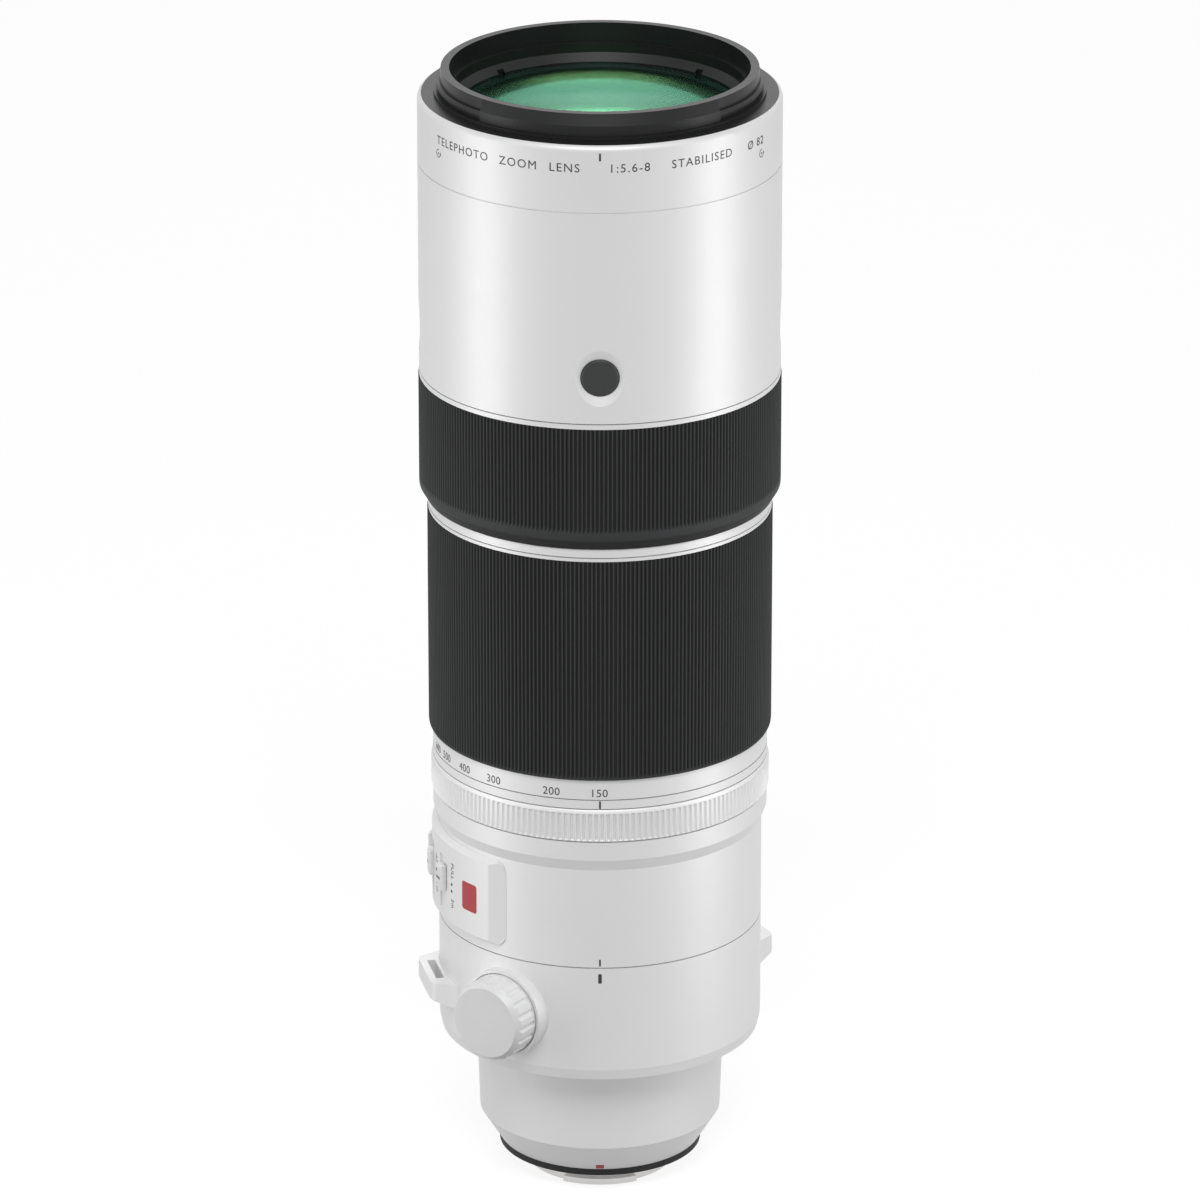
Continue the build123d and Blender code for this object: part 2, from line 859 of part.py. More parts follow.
# Rear barrel: collar seat, drum, step and band, with the sleeve that all the rings turn on
neck_flange_top = z_collar + neck_flange_height
key_half_angle = degrees(asin(key_width / 2 / sleeve_bore_r)) + key_margin_angle
with BuildPart() as rear_barrel:
    lathe(
        (rear_bore_r, neck_flange_top),
        (collar_seat_r, neck_flange_top),
        (collar_seat_r, z_drum),
        (drum_r, z_drum),
        (drum_r, z_step),
        (band_r, z_band),
        (band_r, z_band_top),
        (sleeve_r, z_band_top),
        (sleeve_r, z_spacer_top),
        (sleeve_bore_r, z_spacer_top),
        (sleeve_bore_r, guide_bottom),
        (rear_bore_r, guide_bottom),
    )
    sector(
        [
            (sleeve_bore_r - cut_over, key_level - run_gap),
            (sleeve_r + cut_over, key_level - run_gap),
            (sleeve_r + cut_over, key_level + key_height + run_gap),
            (sleeve_bore_r - cut_over, key_level + key_height + run_gap),
        ],
        key_turn - zoom_turn / 2,
        zoom_turn + 2 * key_half_angle,
        Mode.SUBTRACT,
    )
save("rear_barrel", rear_barrel.part)

# Iris housing: nine pivot pins on its web, a seat for the drive ring and a skirt below
web_top = guide_bottom - iris_depth
web_bottom = web_top - iris_web_thick
board_top = neck_flange_top + spigot_height + board_thick
yoke_height = focus_cell_height + focus_travel + 2 * yoke_end_room
skirt_bottom = board_top + yoke_board_gap + yoke_height
layer = blade_thick + blade_gap
blades_bottom = web_top + blade_gap
ring_bottom = blades_bottom + blade_count * layer + blade_gap
housing_r = iris_cavity_r + iris_wall
with BuildPart() as iris_housing:
    lathe(
        (iris_open_r, web_bottom),
        (iris_cavity_r, web_bottom),
        (iris_cavity_r, skirt_bottom),
        (housing_r, skirt_bottom),
        (housing_r, guide_bottom - iris_flange_height),
        (rear_bore_r - fit_gap, guide_bottom - iris_flange_height),
        (rear_bore_r - fit_gap, guide_bottom),
        (iris_cavity_r, guide_bottom),
        (iris_cavity_r, web_top),
        (iris_open_r, web_top),
    )
    with BuildSketch(Plane.XY.offset(web_top)):
        with PolarLocations(pivot_circle_r, blade_count):
            Circle(pivot_r)
    extrude(amount=ring_bottom - run_gap - web_top)
save("iris_housing", iris_housing.part)


def drive_pin_point(share):
    """Where a blade's drive pin lies in the drive ring when that share of its turn is done."""
    ring_turn = radians(drive_turn) * share
    arm_angle = radians(90) + ring_turn * blade_ratio
    x = pivot_circle_r + drive_arm * cos(arm_angle)
    y = drive_arm * sin(arm_angle)
    return (
        x * cos(ring_turn) + y * sin(ring_turn),
        y * cos(ring_turn) - x * sin(ring_turn),
    )


# Drive ring: one cam slot for each blade's pin
with BuildPart() as iris_drive_ring:
    tube(drive_ring_bore_r, iris_cavity_r - bearing_gap, ring_bottom, ring_bottom + drive_ring_thick)
    with BuildSketch(Plane.XY.offset(ring_bottom)):
        with PolarLocations(0, blade_count):
            SlotArc(
                ThreePointArc(drive_pin_point(0), drive_pin_point(0.5), drive_pin_point(1)),
                height=2 * (drive_pin_r + slide_gap),
            )
    extrude(amount=drive_ring_thick, mode=Mode.SUBTRACT)
save("iris_drive_ring", iris_drive_ring.part)

# Nine thin blades, each in its own layer, swinging on a pivot pin
blade_mid_r = iris_open_r + blade_inset + blade_width / 2
for number in range(blade_count):
    blade_plane = Plane.XY.offset(blades_bottom + number * layer)
    with BuildPart() as iris_blade:
        with BuildSketch(blade_plane):
            with Locations((pivot_circle_r, 0)):
                Circle(pivot_pad_r)
            with Locations((pivot_circle_r, drive_arm)):
                Circle(drive_pad_r)
            with Locations((blade_mid_r, 0)):
                Circle(blade_width / 2)
            make_hull()
            SlotArc(CenterArc((0, 0), blade_mid_r, 0, blade_span_angle), height=blade_width)
            with Locations((pivot_circle_r, 0)):
                Circle(pivot_r + bearing_gap, mode=Mode.SUBTRACT)
        extrude(amount=blade_thick)
        with BuildSketch(blade_plane):
            with Locations((pivot_circle_r, drive_arm)):
                Circle(drive_pin_r)
        extrude(amount=ring_bottom + drive_ring_thick - blades_bottom - number * layer)
    place = Rot(0, 0, number * 360 / blade_count)
    save(f"iris_blade_{number + 1}", place * iris_blade.part)

# Stabiliser: a holder that shifts sideways under the iris web, with its element
holder_top = web_bottom - run_gap
holder_bottom = holder_top - stabiliser_height
with BuildPart() as stabiliser_holder:
    lathe(
        (stabiliser_bore_r - seat_lip, holder_bottom),
        (stabiliser_r, holder_bottom),
        (stabiliser_r, holder_top),
        (stabiliser_bore_r + fit_gap, holder_top),
        (stabiliser_bore_r + fit_gap, holder_bottom + seat_lip),
        (stabiliser_bore_r - seat_lip, holder_bottom + seat_lip),
    )
save("stabiliser_holder", stabiliser_holder.part)
stabiliser_element = glass(
    stabiliser_bore_r,
    rim_level(stabiliser_bore_r, seat_lip, holder_bottom + seat_lip, stabiliser_back_rise),
    stabiliser_rim_height,
    stabiliser_rise,
    stabiliser_back_rise,
)
save("stabiliser_element", stabiliser_element)

# Focus group: a cell that two coils drive along two rods
focus_bottom = skirt_bottom - yoke_height + yoke_end_room
focus_top = focus_bottom + focus_cell_height
ear_r = rod_r + slide_gap + ear_wall
rod_turns = [rod_turn + number * 360 / rod_count for number in range(rod_count)]
yoke_turns = [turn + 90 for turn in rod_turns]
yoke_inner_r = focus_cell_r + yoke_gap
with BuildPart() as focus_cell:
    lathe(
        (focus_cell_bore_r - seat_lip, focus_bottom),
        (focus_cell_r, focus_bottom),
        (focus_cell_r, focus_top),
        (focus_cell_bore_r + fit_gap, focus_top),
        (focus_cell_bore_r + fit_gap, focus_bottom + seat_lip),
        (focus_cell_bore_r - seat_lip, focus_bottom + seat_lip),
    )
    for turn in rod_turns:
        x, y = point_at(turn, rod_circle_r)
        ear_plane = Plane(origin=(x, y, focus_bottom))
        rod(ear_plane, ear_r, focus_cell_height)
        block(
            facing_plane(turn, focus_cell_r - seat_lip, focus_bottom + focus_cell_height / 2),
            2 * ear_r,
            focus_cell_height,
            rod_circle_r - focus_cell_r + seat_lip,
        )
        rod(ear_plane, rod_r + slide_gap, focus_cell_height, Mode.SUBTRACT)
    for turn in yoke_turns:
        block(
            facing_plane(turn, focus_cell_r - seat_lip, (focus_bottom + focus_top) / 2),
            coil_width,
            focus_cell_height,
            seat_lip + yoke_gap + yoke_slot_depth - coil_gap,
        )
save("focus_cell", focus_cell.part)
focus_element = glass(
    focus_cell_bore_r, focus_bottom + seat_lip, focus_rim_height, focus_rise, focus_back_rise
)
save("focus_element", focus_element)

with BuildPart() as focus_guide_rods:
    for turn in rod_turns:
        x, y = point_at(turn, rod_circle_r)
        foot_plane = Plane(origin=(x, y, neck_flange_top))
        rod(foot_plane, rod_r, skirt_bottom - neck_flange_top)
        rod(foot_plane, rod_r + rod_shoulder_out, focus_bottom - run_gap - neck_flange_top)
save("focus_guide_rods", focus_guide_rods.part)

with BuildPart() as focus_motor_yokes:
    for turn in yoke_turns:
        yoke_mid = skirt_bottom - yoke_height / 2
        yoke_plane = facing_plane(turn, yoke_inner_r, yoke_mid)
        block(yoke_plane, yoke_width, yoke_height, yoke_depth)
        block(yoke_plane, yoke_slot_width, yoke_height, yoke_slot_depth, Mode.SUBTRACT)
save("focus_motor_yokes", focus_motor_yokes.part)

# Mount barrel: flange under the collar, tapered neck, cone, and a spigot into the rear barrel
neck_flange_r = collar_seat_r + neck_flange_out
neck_foot_r = neck_r - neck_taper
screw_points = [
    point_at(mount_screw_turn + number * 360 / mount_screw_count, mount_screw_circle_r)
    for number in range(mount_screw_count)
]
mount_fit_r = mount_r + seal_wall
foot_top = seal_height + mount_foot_thick
with BuildPart() as mount_barrel:
    lathe(
        (bayonet_r + fit_gap, seal_height),
        (mount_fit_r, seal_height),
        (neck_foot_r, z_neck),
        (neck_r, z_collar),
        (neck_flange_r, z_collar),
        (neck_flange_r, neck_flange_top),
        (rear_bore_r - fit_gap, neck_flange_top),
        (rear_bore_r - fit_gap, neck_flange_top + spigot_height),
        (rear_bore_r - fit_gap - spigot_wall, neck_flange_top + spigot_height),
        (rear_bore_r - fit_gap - spigot_wall, neck_flange_top),
        (neck_r - neck_wall, neck_flange_top),
        (neck_foot_r - neck_wall, z_neck),
        (mount_fit_r - neck_wall, foot_top),
        (bayonet_r + fit_gap, foot_top),
    )
    with BuildSketch(Plane.XY.offset(seal_height)):
        with Locations(*screw_points):
            Circle(mount_screw_r + fit_gap)
    extrude(amount=mount_foot_thick, mode=Mode.SUBTRACT)
save("mount_barrel", mount_barrel.part)

# Seal ring of rubber round the mount plate
with BuildPart() as mount_seal:
    tube(mount_r + fit_gap, mount_fit_r, seal_lift, seal_height)
save("mount_seal", mount_seal.part)

# Mount plate: flange, bayonet barrel with three claws, and the blind hole for the lock pin
with BuildPart() as mount_plate:
    lathe(
        (bayonet_bore_r, -bayonet_length),
        (bayonet_r, -bayonet_length),
        (bayonet_r, 0),
        (mount_r, 0),
        (mount_r, seal_height),
        (bayonet_bore_r, seal_height),
    )
    for number in range(claw_count):
        sector(
            [
                (bayonet_r - claw_out, -bayonet_length),
                (bayonet_r + claw_out, -bayonet_length),
                (bayonet_r + claw_out, claw_thick - bayonet_length),
                (bayonet_r - claw_out, claw_thick - bayonet_length),
            ],
            number * 360 / claw_count,
            claw_angle,
        )
    with BuildSketch(Plane.XY):
        with Locations(*screw_points):
            Circle(mount_screw_r + fit_gap)
    extrude(amount=seal_height, mode=Mode.SUBTRACT)
    with BuildSketch(Plane.XY):
        with Locations(*screw_points):
            Circle(mount_screw_head_r + fit_gap)
    extrude(amount=mount_screw_sunk + mount_screw_head_height, mode=Mode.SUBTRACT)
    with BuildSketch(Plane.XY):
        with Locations(point_at(lock_hole_turn, mount_screw_circle_r)):
            Circle(lock_hole_r)
    extrude(amount=lock_hole_depth, mode=Mode.SUBTRACT)
save("mount_plate", mount_plate.part)

with BuildPart() as mount_screws:
    with BuildSketch(Plane.XY.offset(mount_screw_sunk)):
        with Locations(*screw_points):
            Circle(mount_screw_head_r)
    extrude(amount=mount_screw_head_height)
    with BuildSketch(Plane.XY.offset(mount_screw_sunk)):
        with Locations(*screw_points):
            Circle(mount_screw_r)
    extrude(amount=mount_screw_length)
save("mount_screws", mount_screws.part)

# Rear baffle: a cup with a rectangular window, which also holds the rear element
baffle_bore_r = rear_glass_r + fit_gap
baffle_r = baffle_bore_r + baffle_wall
baffle_bottom = baffle_depth - bayonet_length
with BuildPart() as rear_baffle:
    lathe(
        (0, baffle_bottom),
        (baffle_r, baffle_bottom),
        (baffle_r, seal_height),
        (bayonet_r, seal_height),
        (bayonet_r, seal_height + baffle_wall),
        (baffle_bore_r, seal_height + baffle_wall),
        (baffle_bore_r, rear_glass_level),
        (baffle_bore_r - baffle_ledge, rear_glass_level),
        (baffle_bore_r - baffle_ledge, baffle_bottom + baffle_wall),
        (0, baffle_bottom + baffle_wall),
    )
    block(
        Plane.XY.offset(baffle_bottom),
        2 * (rear_glass_r - baffle_side_inset),
        2 * (rear_glass_r - baffle_top_inset),
        baffle_wall,
        Mode.SUBTRACT,
    )
save("rear_baffle", rear_baffle.part)
rear_element = glass(
    rear_glass_r,
    rim_level(rear_glass_r, baffle_ledge, rear_glass_level, rear_back_rise),
    rear_rim_height,
    rear_rise,
    rear_back_rise,
)
save("rear_element", rear_element)

# Contact block inside the bayonet, with a row of pins along its arc
contact_mid_r = (contact_inner_r + bayonet_bore_r - fit_gap) / 2
contact_points = [
    point_at(contact_turn + (number - (contact_count - 1) / 2) * contact_pitch_angle, contact_mid_r)
    for number in range(contact_count)
]
with BuildPart() as contact_block:
    sector(
        [
            (contact_inner_r, -contact_drop),
            (bayonet_bore_r - fit_gap, -contact_drop),
            (bayonet_bore_r - fit_gap, seal_height),
            (contact_inner_r, seal_height),
        ],
        contact_turn,
        contact_arc_angle,
    )
    with BuildSketch(Plane.XY.offset(-contact_drop)):
        with Locations(*contact_points):
            Circle(contact_pin_r + fit_gap)
    extrude(amount=contact_pin_length - contact_pin_out, mode=Mode.SUBTRACT)
save("contact_block", contact_block.part)

with BuildPart() as contact_pins:
    with BuildSketch(Plane.XY.offset(-contact_drop - contact_pin_out)):
        with Locations(*contact_points):
            Circle(contact_pin_r)
    extrude(amount=contact_pin_length)
save("contact_pins", contact_pins.part)

# Circuit board on the mount barrel's spigot, pierced by the focus rods
with BuildPart() as circuit_board:
    with BuildSketch(Plane.XY.offset(neck_flange_top + spigot_height)):
        Circle(rear_bore_r - board_edge_gap)
        Circle(board_bore_r, mode=Mode.SUBTRACT)
        with Locations(*[point_at(turn, rod_circle_r) for turn in rod_turns]):
            Circle(rod_r + rod_shoulder_out + run_gap, mode=Mode.SUBTRACT)
    extrude(amount=board_thick)
save("circuit_board", circuit_board.part)

# Switch panel: a plate on the drum with sloped edges, finger recesses and control windows
panel_bottom = z_drum + panel_lift
panel_top = panel_bottom + panel_height
panel_base_r = drum_r + fit_gap
panel_r = drum_r + panel_rise
panel_start = panel_turn - panel_arc_angle / 2
plate_start = panel_start + panel_end_angle
plate_arc = panel_arc_angle - 2 * panel_end_angle
corner_angle = degrees(panel_corner_r / panel_base_r)
corner_reach = panel_corner_r + cut_over
recess_floor_r = panel_r - switch_recess_depth
recess_axis = panel_bottom + switch_recess_level
knob_axis = panel_bottom + knob_level
set_button_base_r = drum_r + set_button_travel + run_gap
with BuildPart() as switch_panel:
    lathe(
        (panel_base_r, panel_bottom),
        (panel_r, panel_bottom + panel_slope_height),
        (panel_r, panel_top - panel_slope_height),
        (panel_base_r, panel_top),
    )
    # Plan of the panel: its two arcs, joined by the end slopes
    with BuildSketch(Plane.XY.offset(panel_bottom)):
        with BuildLine():
            plate_edge = ThreePointArc(
                point_at(plate_start, panel_r),
                point_at(panel_turn, panel_r),
                point_at(plate_start + plate_arc, panel_r),
            )
            base_edge = ThreePointArc(
                point_at(panel_start, panel_base_r),
                point_at(panel_turn, panel_base_r),
                point_at(panel_start + panel_arc_angle, panel_base_r),
            )
            Line(plate_edge @ 0, base_edge @ 0)
            Line(plate_edge @ 1, base_edge @ 1)
        make_face()
    extrude(amount=panel_height, mode=Mode.INTERSECT)
    # Its four corners are rounded off
    for side in (-1, 1):
        corner_turn = panel_turn + side * (panel_arc_angle / 2 - corner_angle)
        for level, lift in ((panel_bottom, 1), (panel_top, -1)):
            with BuildSketch(
                facing_plane(corner_turn, drum_r - panel_rise, level + lift * panel_corner_r)
            ) as corner:
                with Locations((-side * corner_reach / 2, -lift * corner_reach / 2)):
                    Rectangle(corner_reach, corner_reach)
                Circle(panel_corner_r + fit_gap, mode=Mode.SUBTRACT)
            extrude(corner.sketch, amount=3 * panel_rise, mode=Mode.SUBTRACT)
    for turn in switch_turns:
        block(
            facing_plane(turn, recess_floor_r, recess_axis),
            switch_recess_width,
            switch_recess_length,
            panel_rise,
            Mode.SUBTRACT,
        )
        block(
            facing_plane(turn, drum_r, knob_axis + switch_travel / 2),
            knob_stem_width + 2 * slide_gap,
            knob_stem_length + switch_travel + 2 * run_gap,
            panel_rise,
            Mode.SUBTRACT,
        )
    set_hole = facing_plane(set_button_turn, drum_r, knob_axis)
    flange_room = set_button_travel + run_gap + set_button_flange_thick + slide_gap
    rod(set_hole.offset(-cut_over), set_button_r + slide_gap, panel_rise + 2 * cut_over, Mode.SUBTRACT)
    rod(
        set_hole.offset(-cut_over),
        set_button_r + set_button_flange_out + slide_gap,
        cut_over + flange_room,
        Mode.SUBTRACT,
    )
save("switch_panel", switch_panel.part)

# Three switch knobs that slide along the recesses, and the push button beside them
for number, turn in enumerate(switch_turns):
    knob_base = facing_plane(turn, recess_floor_r + run_gap, knob_axis)
    with BuildPart() as switch_knob:
        block(knob_base, knob_width, knob_length, knob_rise + switch_recess_depth - run_gap)
        outward = Axis(knob_base.origin, knob_base.z_dir)
        chamfer(switch_knob.faces().sort_by(outward)[-1].edges(), knob_edge)
        block(
            knob_base.offset(-run_gap - knob_stem_sunk),
            knob_stem_width,
            knob_stem_length,
            run_gap + knob_stem_sunk,
        )
    save(f"switch_knob_{number + 1}", switch_knob.part)

set_base = facing_plane(set_button_turn, set_button_base_r, knob_axis)
with BuildPart() as set_button:
    rod(set_base, set_button_r, panel_r + set_button_rise - set_button_base_r)
    rod(set_base, set_button_r + set_button_flange_out, set_button_flange_thick)
save("set_button", set_button.part)

# Tripod collar: ring with a bevelled foot, a boss for the clamp and a pad for the tripod foot
collar_bore_r = collar_seat_r + bearing_gap
clamp_axis = z_collar + collar_height / 2 + clamp_lift
boss_face = drum_r + clamp_boss_out
pad_face = drum_r + pad_out
pad_axis = (z_collar + z_collar_top) / 2
pad_plane = facing_plane(180, pad_face, pad_axis)
with BuildPart() as collar_ring:
    lathe(
        (0, z_collar),
        (drum_r - collar_bevel_inset, z_collar),
        (drum_r, z_collar + collar_bevel_height),
        (drum_r, z_collar_top),
        (0, z_collar_top),
    )
    block(facing_plane(180, 0, pad_axis), pad_width, pad_height, pad_face)
    rod(facing_plane(clamp_turn, 0, clamp_axis), clamp_boss_r, boss_face)
    lathe(
        (0, z_collar - cut_over),
        (neck_flange_r + run_gap, z_collar - cut_over),
        (neck_flange_r + run_gap, neck_flange_top + run_gap),
        (collar_bore_r, neck_flange_top + run_gap),
        (collar_bore_r, z_collar_top + cut_over),
        (0, z_collar_top + cut_over),
        mode=Mode.SUBTRACT,
    )
    boss_recess = facing_plane(clamp_turn, boss_face - clamp_boss_lip, clamp_axis)
    rod(boss_recess, clamp_knob_r + run_gap, clamp_boss_lip, Mode.SUBTRACT)
    rod(facing_plane(clamp_turn, 0, clamp_axis), stud_r + slide_gap, boss_face, Mode.SUBTRACT)
    with BuildSketch(pad_plane):
        with GridLocations(foot_screw_spacing_x, foot_screw_spacing_z, 2, 2):
            Circle(foot_screw_r + fit_gap)
    extrude(amount=foot_flange_thick - foot_screw_length, mode=Mode.SUBTRACT)
save("collar_ring", collar_ring.part)

# Clamp knob: fluted rim, chamfered face and the stud that presses on the barrel
knob_bottom = facing_plane(clamp_turn, boss_face - clamp_boss_lip + run_gap, clamp_axis)
rim_length = clamp_knob_height - clamp_chamfer_height
with BuildPart() as clamp_knob:
    rod(knob_bottom, clamp_knob_r, rim_length)
    with Locations(knob_bottom.offset(rim_length)):
        Cone(
            bottom_radius=clamp_knob_r,
            top_radius=clamp_face_r,
            height=clamp_chamfer_height,
            align=(Align.CENTER, Align.CENTER, Align.MIN),
        )
    with BuildSketch(knob_bottom.offset(clamp_boss_lip)):
        with PolarLocations(clamp_knob_r + flute_r - flute_depth, flute_count):
            Circle(flute_r)
    extrude(amount=clamp_knob_height, mode=Mode.SUBTRACT)
    stud_end = facing_plane(clamp_turn, collar_bore_r + run_gap, clamp_axis)
    rod(stud_end, stud_r, boss_face - collar_bore_r)
save("clamp_knob", clamp_knob.part)

# Two strap lugs on the collar, tapered below, each with a slot for the strap
lug_top = z_collar + lug_top_level
lug_tip = drum_r + lug_reach
lug_root = sqrt(drum_r**2 - (lug_root_width / 2) ** 2)
lug_corner_r = hypot(lug_tip, lug_tip_width / 2)
with BuildPart() as strap_lugs:
    for turn in lug_turns:
        lug_plane = Plane.XY.offset(lug_top - lug_root_height).rotated((0, 0, -90 - turn))
        with BuildSketch(lug_plane) as lug:
            with BuildLine():
                Polyline(
                    (lug_root, -lug_root_width / 2),
                    (lug_tip, -lug_tip_width / 2),
                    (lug_tip, lug_tip_width / 2),
                    (lug_root, lug_root_width / 2),
                    close=True,
                )
            make_face()
            fillet(lug.vertices().sort_by(Axis.X)[-2:], lug_rounding)
            with Locations((lug_tip - lug_bar - lug_slot_width / 2, 0)):
                Rectangle(lug_slot_width, lug_slot_length, mode=Mode.SUBTRACT)
        extrude(amount=lug_root_height)
    lathe(
        (drum_r + fit_gap, lug_top - lug_root_height),
        (lug_corner_r, lug_top - lug_tip_height),
        (lug_corner_r, lug_top),
        (drum_r + fit_gap, lug_top),
        mode=Mode.INTERSECT,
    )
save("strap_lugs", strap_lugs.part)

# Tripod foot: flange on the collar's pad, neck, and a dovetail plate with two threaded holes
plate_face = pad_face + foot_drop
plate_back = plate_face - foot_plate_thick
plate_axis = pad_axis + foot_shift
neck_spread = foot_neck_spread_share * foot_length
foot_top_half = foot_width / 2 - dovetail_depth
with BuildPart() as tripod_foot:
    block(pad_plane, pad_width, pad_height, foot_flange_thick)
    with BuildSketch(Plane.YZ.offset(-foot_neck_width / 2)):
        with BuildLine():
            Polyline(
                (pad_face, pad_axis - pad_height / 2),
                (plate_face - dovetail_land, plate_axis - neck_spread),
                (plate_face - dovetail_land, plate_axis + neck_spread),
                (pad_face, pad_axis + pad_height / 2),
                close=True,
            )
        make_face()
    extrude(amount=foot_neck_width)
    with BuildSketch(Plane.XY.offset(plate_axis - foot_length / 2)):
        with BuildLine():
            Polyline(
                (-foot_top_half, plate_back),
                (foot_top_half, plate_back),
                (foot_top_half, plate_face - dovetail_land - dovetail_depth),
                (foot_width / 2, plate_face - dovetail_land),
                (foot_width / 2, plate_face),
                (-foot_width / 2, plate_face),
                (-foot_width / 2, plate_face - dovetail_land),
                (-foot_top_half, plate_face - dovetail_land - dovetail_depth),
                close=True,
            )
        make_face()
    extrude(amount=foot_length)
    with BuildSketch(facing_plane(180, plate_face, plate_axis)):
        with GridLocations(0, 2 * tripod_hole_offset, 1, 2):
            Circle(tripod_hole_r)
    extrude(amount=-tripod_hole_depth, mode=Mode.SUBTRACT)
    with BuildSketch(pad_plane):
        with GridLocations(foot_screw_spacing_x, foot_screw_spacing_z, 2, 2):
            Circle(foot_screw_r + fit_gap)
    extrude(amount=foot_flange_thick, mode=Mode.SUBTRACT)
save("tripod_foot", tripod_foot.part)

with BuildPart() as foot_screws:
    with BuildSketch(pad_plane.offset(foot_flange_thick)):
        with GridLocations(foot_screw_spacing_x, foot_screw_spacing_z, 2, 2):
            Circle(foot_screw_head_r)
    extrude(amount=foot_screw_head_height)
    with BuildSketch(pad_plane.offset(foot_flange_thick)):
        with GridLocations(foot_screw_spacing_x, foot_screw_spacing_z, 2, 2):
            Circle(foot_screw_r)
    extrude(amount=-foot_screw_length)
save("foot_screws", foot_screws.part)
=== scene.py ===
"""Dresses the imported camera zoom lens: ribbed grips, printed marks, finishes, light and camera."""

from math import atan2, cos, degrees, pi, radians, sin

import bmesh
import bpy
from mathutils import Matrix, Vector


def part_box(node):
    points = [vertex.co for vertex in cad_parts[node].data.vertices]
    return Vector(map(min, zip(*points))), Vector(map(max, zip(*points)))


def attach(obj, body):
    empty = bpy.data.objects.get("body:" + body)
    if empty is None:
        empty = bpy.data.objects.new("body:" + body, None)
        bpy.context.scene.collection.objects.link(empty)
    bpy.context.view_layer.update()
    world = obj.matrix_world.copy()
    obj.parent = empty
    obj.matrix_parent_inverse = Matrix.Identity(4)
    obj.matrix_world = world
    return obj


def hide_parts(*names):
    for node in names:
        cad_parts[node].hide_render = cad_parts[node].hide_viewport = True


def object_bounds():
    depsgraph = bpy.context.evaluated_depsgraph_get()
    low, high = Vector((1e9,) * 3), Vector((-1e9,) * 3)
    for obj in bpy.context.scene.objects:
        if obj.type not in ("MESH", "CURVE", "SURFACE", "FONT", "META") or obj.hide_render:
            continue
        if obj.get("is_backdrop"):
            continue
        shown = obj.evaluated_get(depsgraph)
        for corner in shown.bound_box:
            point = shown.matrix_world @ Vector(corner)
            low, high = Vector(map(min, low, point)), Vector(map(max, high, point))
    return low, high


bl_info = {
    "name": "Zoom Lens Dressing",
    "version": (1, 0, 0),
    "blender": (4, 5, 0),
    "location": "View3D > Sidebar > Zoom Lens",
    "description": "Adds the grips, marks, finishes and studio of a camera zoom lens",
    "category": "Object",
}

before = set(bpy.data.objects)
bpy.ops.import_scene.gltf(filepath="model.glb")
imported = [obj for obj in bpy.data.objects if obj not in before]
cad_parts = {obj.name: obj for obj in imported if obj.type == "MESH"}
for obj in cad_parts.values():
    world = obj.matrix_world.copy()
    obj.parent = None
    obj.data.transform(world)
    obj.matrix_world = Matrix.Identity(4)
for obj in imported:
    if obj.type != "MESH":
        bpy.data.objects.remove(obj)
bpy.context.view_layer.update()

MM = 0.001
WHITE = (1.0, 1.0, 1.0, 1.0)

# Radii of the surfaces that carry marks. The cone above the mount widens from its foot upwards
SCALE_RADIUS = 46.2 * MM
REAR_DRUM_RADIUS = 44.85 * MM
PANEL_RADIUS = 46.7 * MM
CONE_RADIUS = 28.2 * MM
CONE_FOOT = 2.1 * MM
CONE_LEAN = 0.632

# Levels of the marks, and how far round the badge and the hood signs are, in degrees
HOOD_MARK_LEVEL = 304.5 * MM
LETTERING_LEVEL = 301.4 * MM
HOOD_SIGN_LEVEL = 297.6 * MM
BADGE_LEVEL = 84.85 * MM
BARREL_MARK_LEVEL = 71.6 * MM
COLLAR_MARK_LEVEL = 66.9 * MM
MOUNT_MARK_LEVEL = 3.1 * MM
SCALE_LIFT = 1.9 * MM
HOOD_SIGN_TURN = 61.0
BADGE_TURN = 50.5

# Width, height and corner radius of the plain marks, in mm
HOOD_MARK = (0.55, 2.1, 0.12)
ZOOM_MARK = (0.5, 2.2, 0.05)
BARREL_MARK = (0.5, 2.0, 0.12)
COLLAR_MARK = (1.0, 2.8, 0.48)
MOUNT_MARK = (2.2, 1.5, 0.15)
BADGE = (6.3, 8.3, 0.8)
SWITCH_DOT = (0.8, 0.8, 0.38)
KNOB_MARK = (1.9, 0.6, 0.1)

# A rib has two points on its top and two in the groove beside it
POINTS_PER_RIB = 4

# Outlines of the ribbed rings, from the foot round the outside to the head and back. Each row
# is how far in from the outside in mm, how deep the grooves are there as a share of their full
# depth, and how far from the foot or the head in mm
FOCUS_GRIP = (
    (2.2, 0.0, "foot", 0.0),
    (1.9, 0.0, "foot", 0.0),
    (0.06, 0.0, "foot", 3.1),
    (0.0, 0.0, "foot", 3.4),
    (0.0, 0.0, "foot", 5.0),
    (0.0, 1.0, "foot", 6.2),
    (0.0, 1.0, "head", 0.4),
    (0.3, 0.6, "head", 0.0),
    (2.2, 0.0, "head", 0.0),
)
ZOOM_GRIP = (
    (1.5, 0.0, "foot", 0.0),
    (0.35, 0.0, "foot", 0.0),
    (0.1, 0.0, "foot", 0.5),
    (0.0, 1.0, "foot", 1.3),
    (0.0, 1.0, "head", 0.4),
    (0.3, 0.6, "head", 0.0),
    (1.5, 0.0, "head", 0.0),
)
APERTURE_RING = (
    (2.5, 0.0, "foot", 0.0),
    (0.35, 0.0, "foot", 0.0),
    (0.1, 0.2, "foot", 0.25),
    (0.0, 1.0, "foot", 0.6),
    (0.0, 1.0, "head", 1.5),
    (0.1, 0.0, "head", 1.1),
    (0.3, 0.0, "head", 0.2),
    (0.5, 0.0, "head", 0.0),
    (2.5, 0.0, "head", 0.0),
)

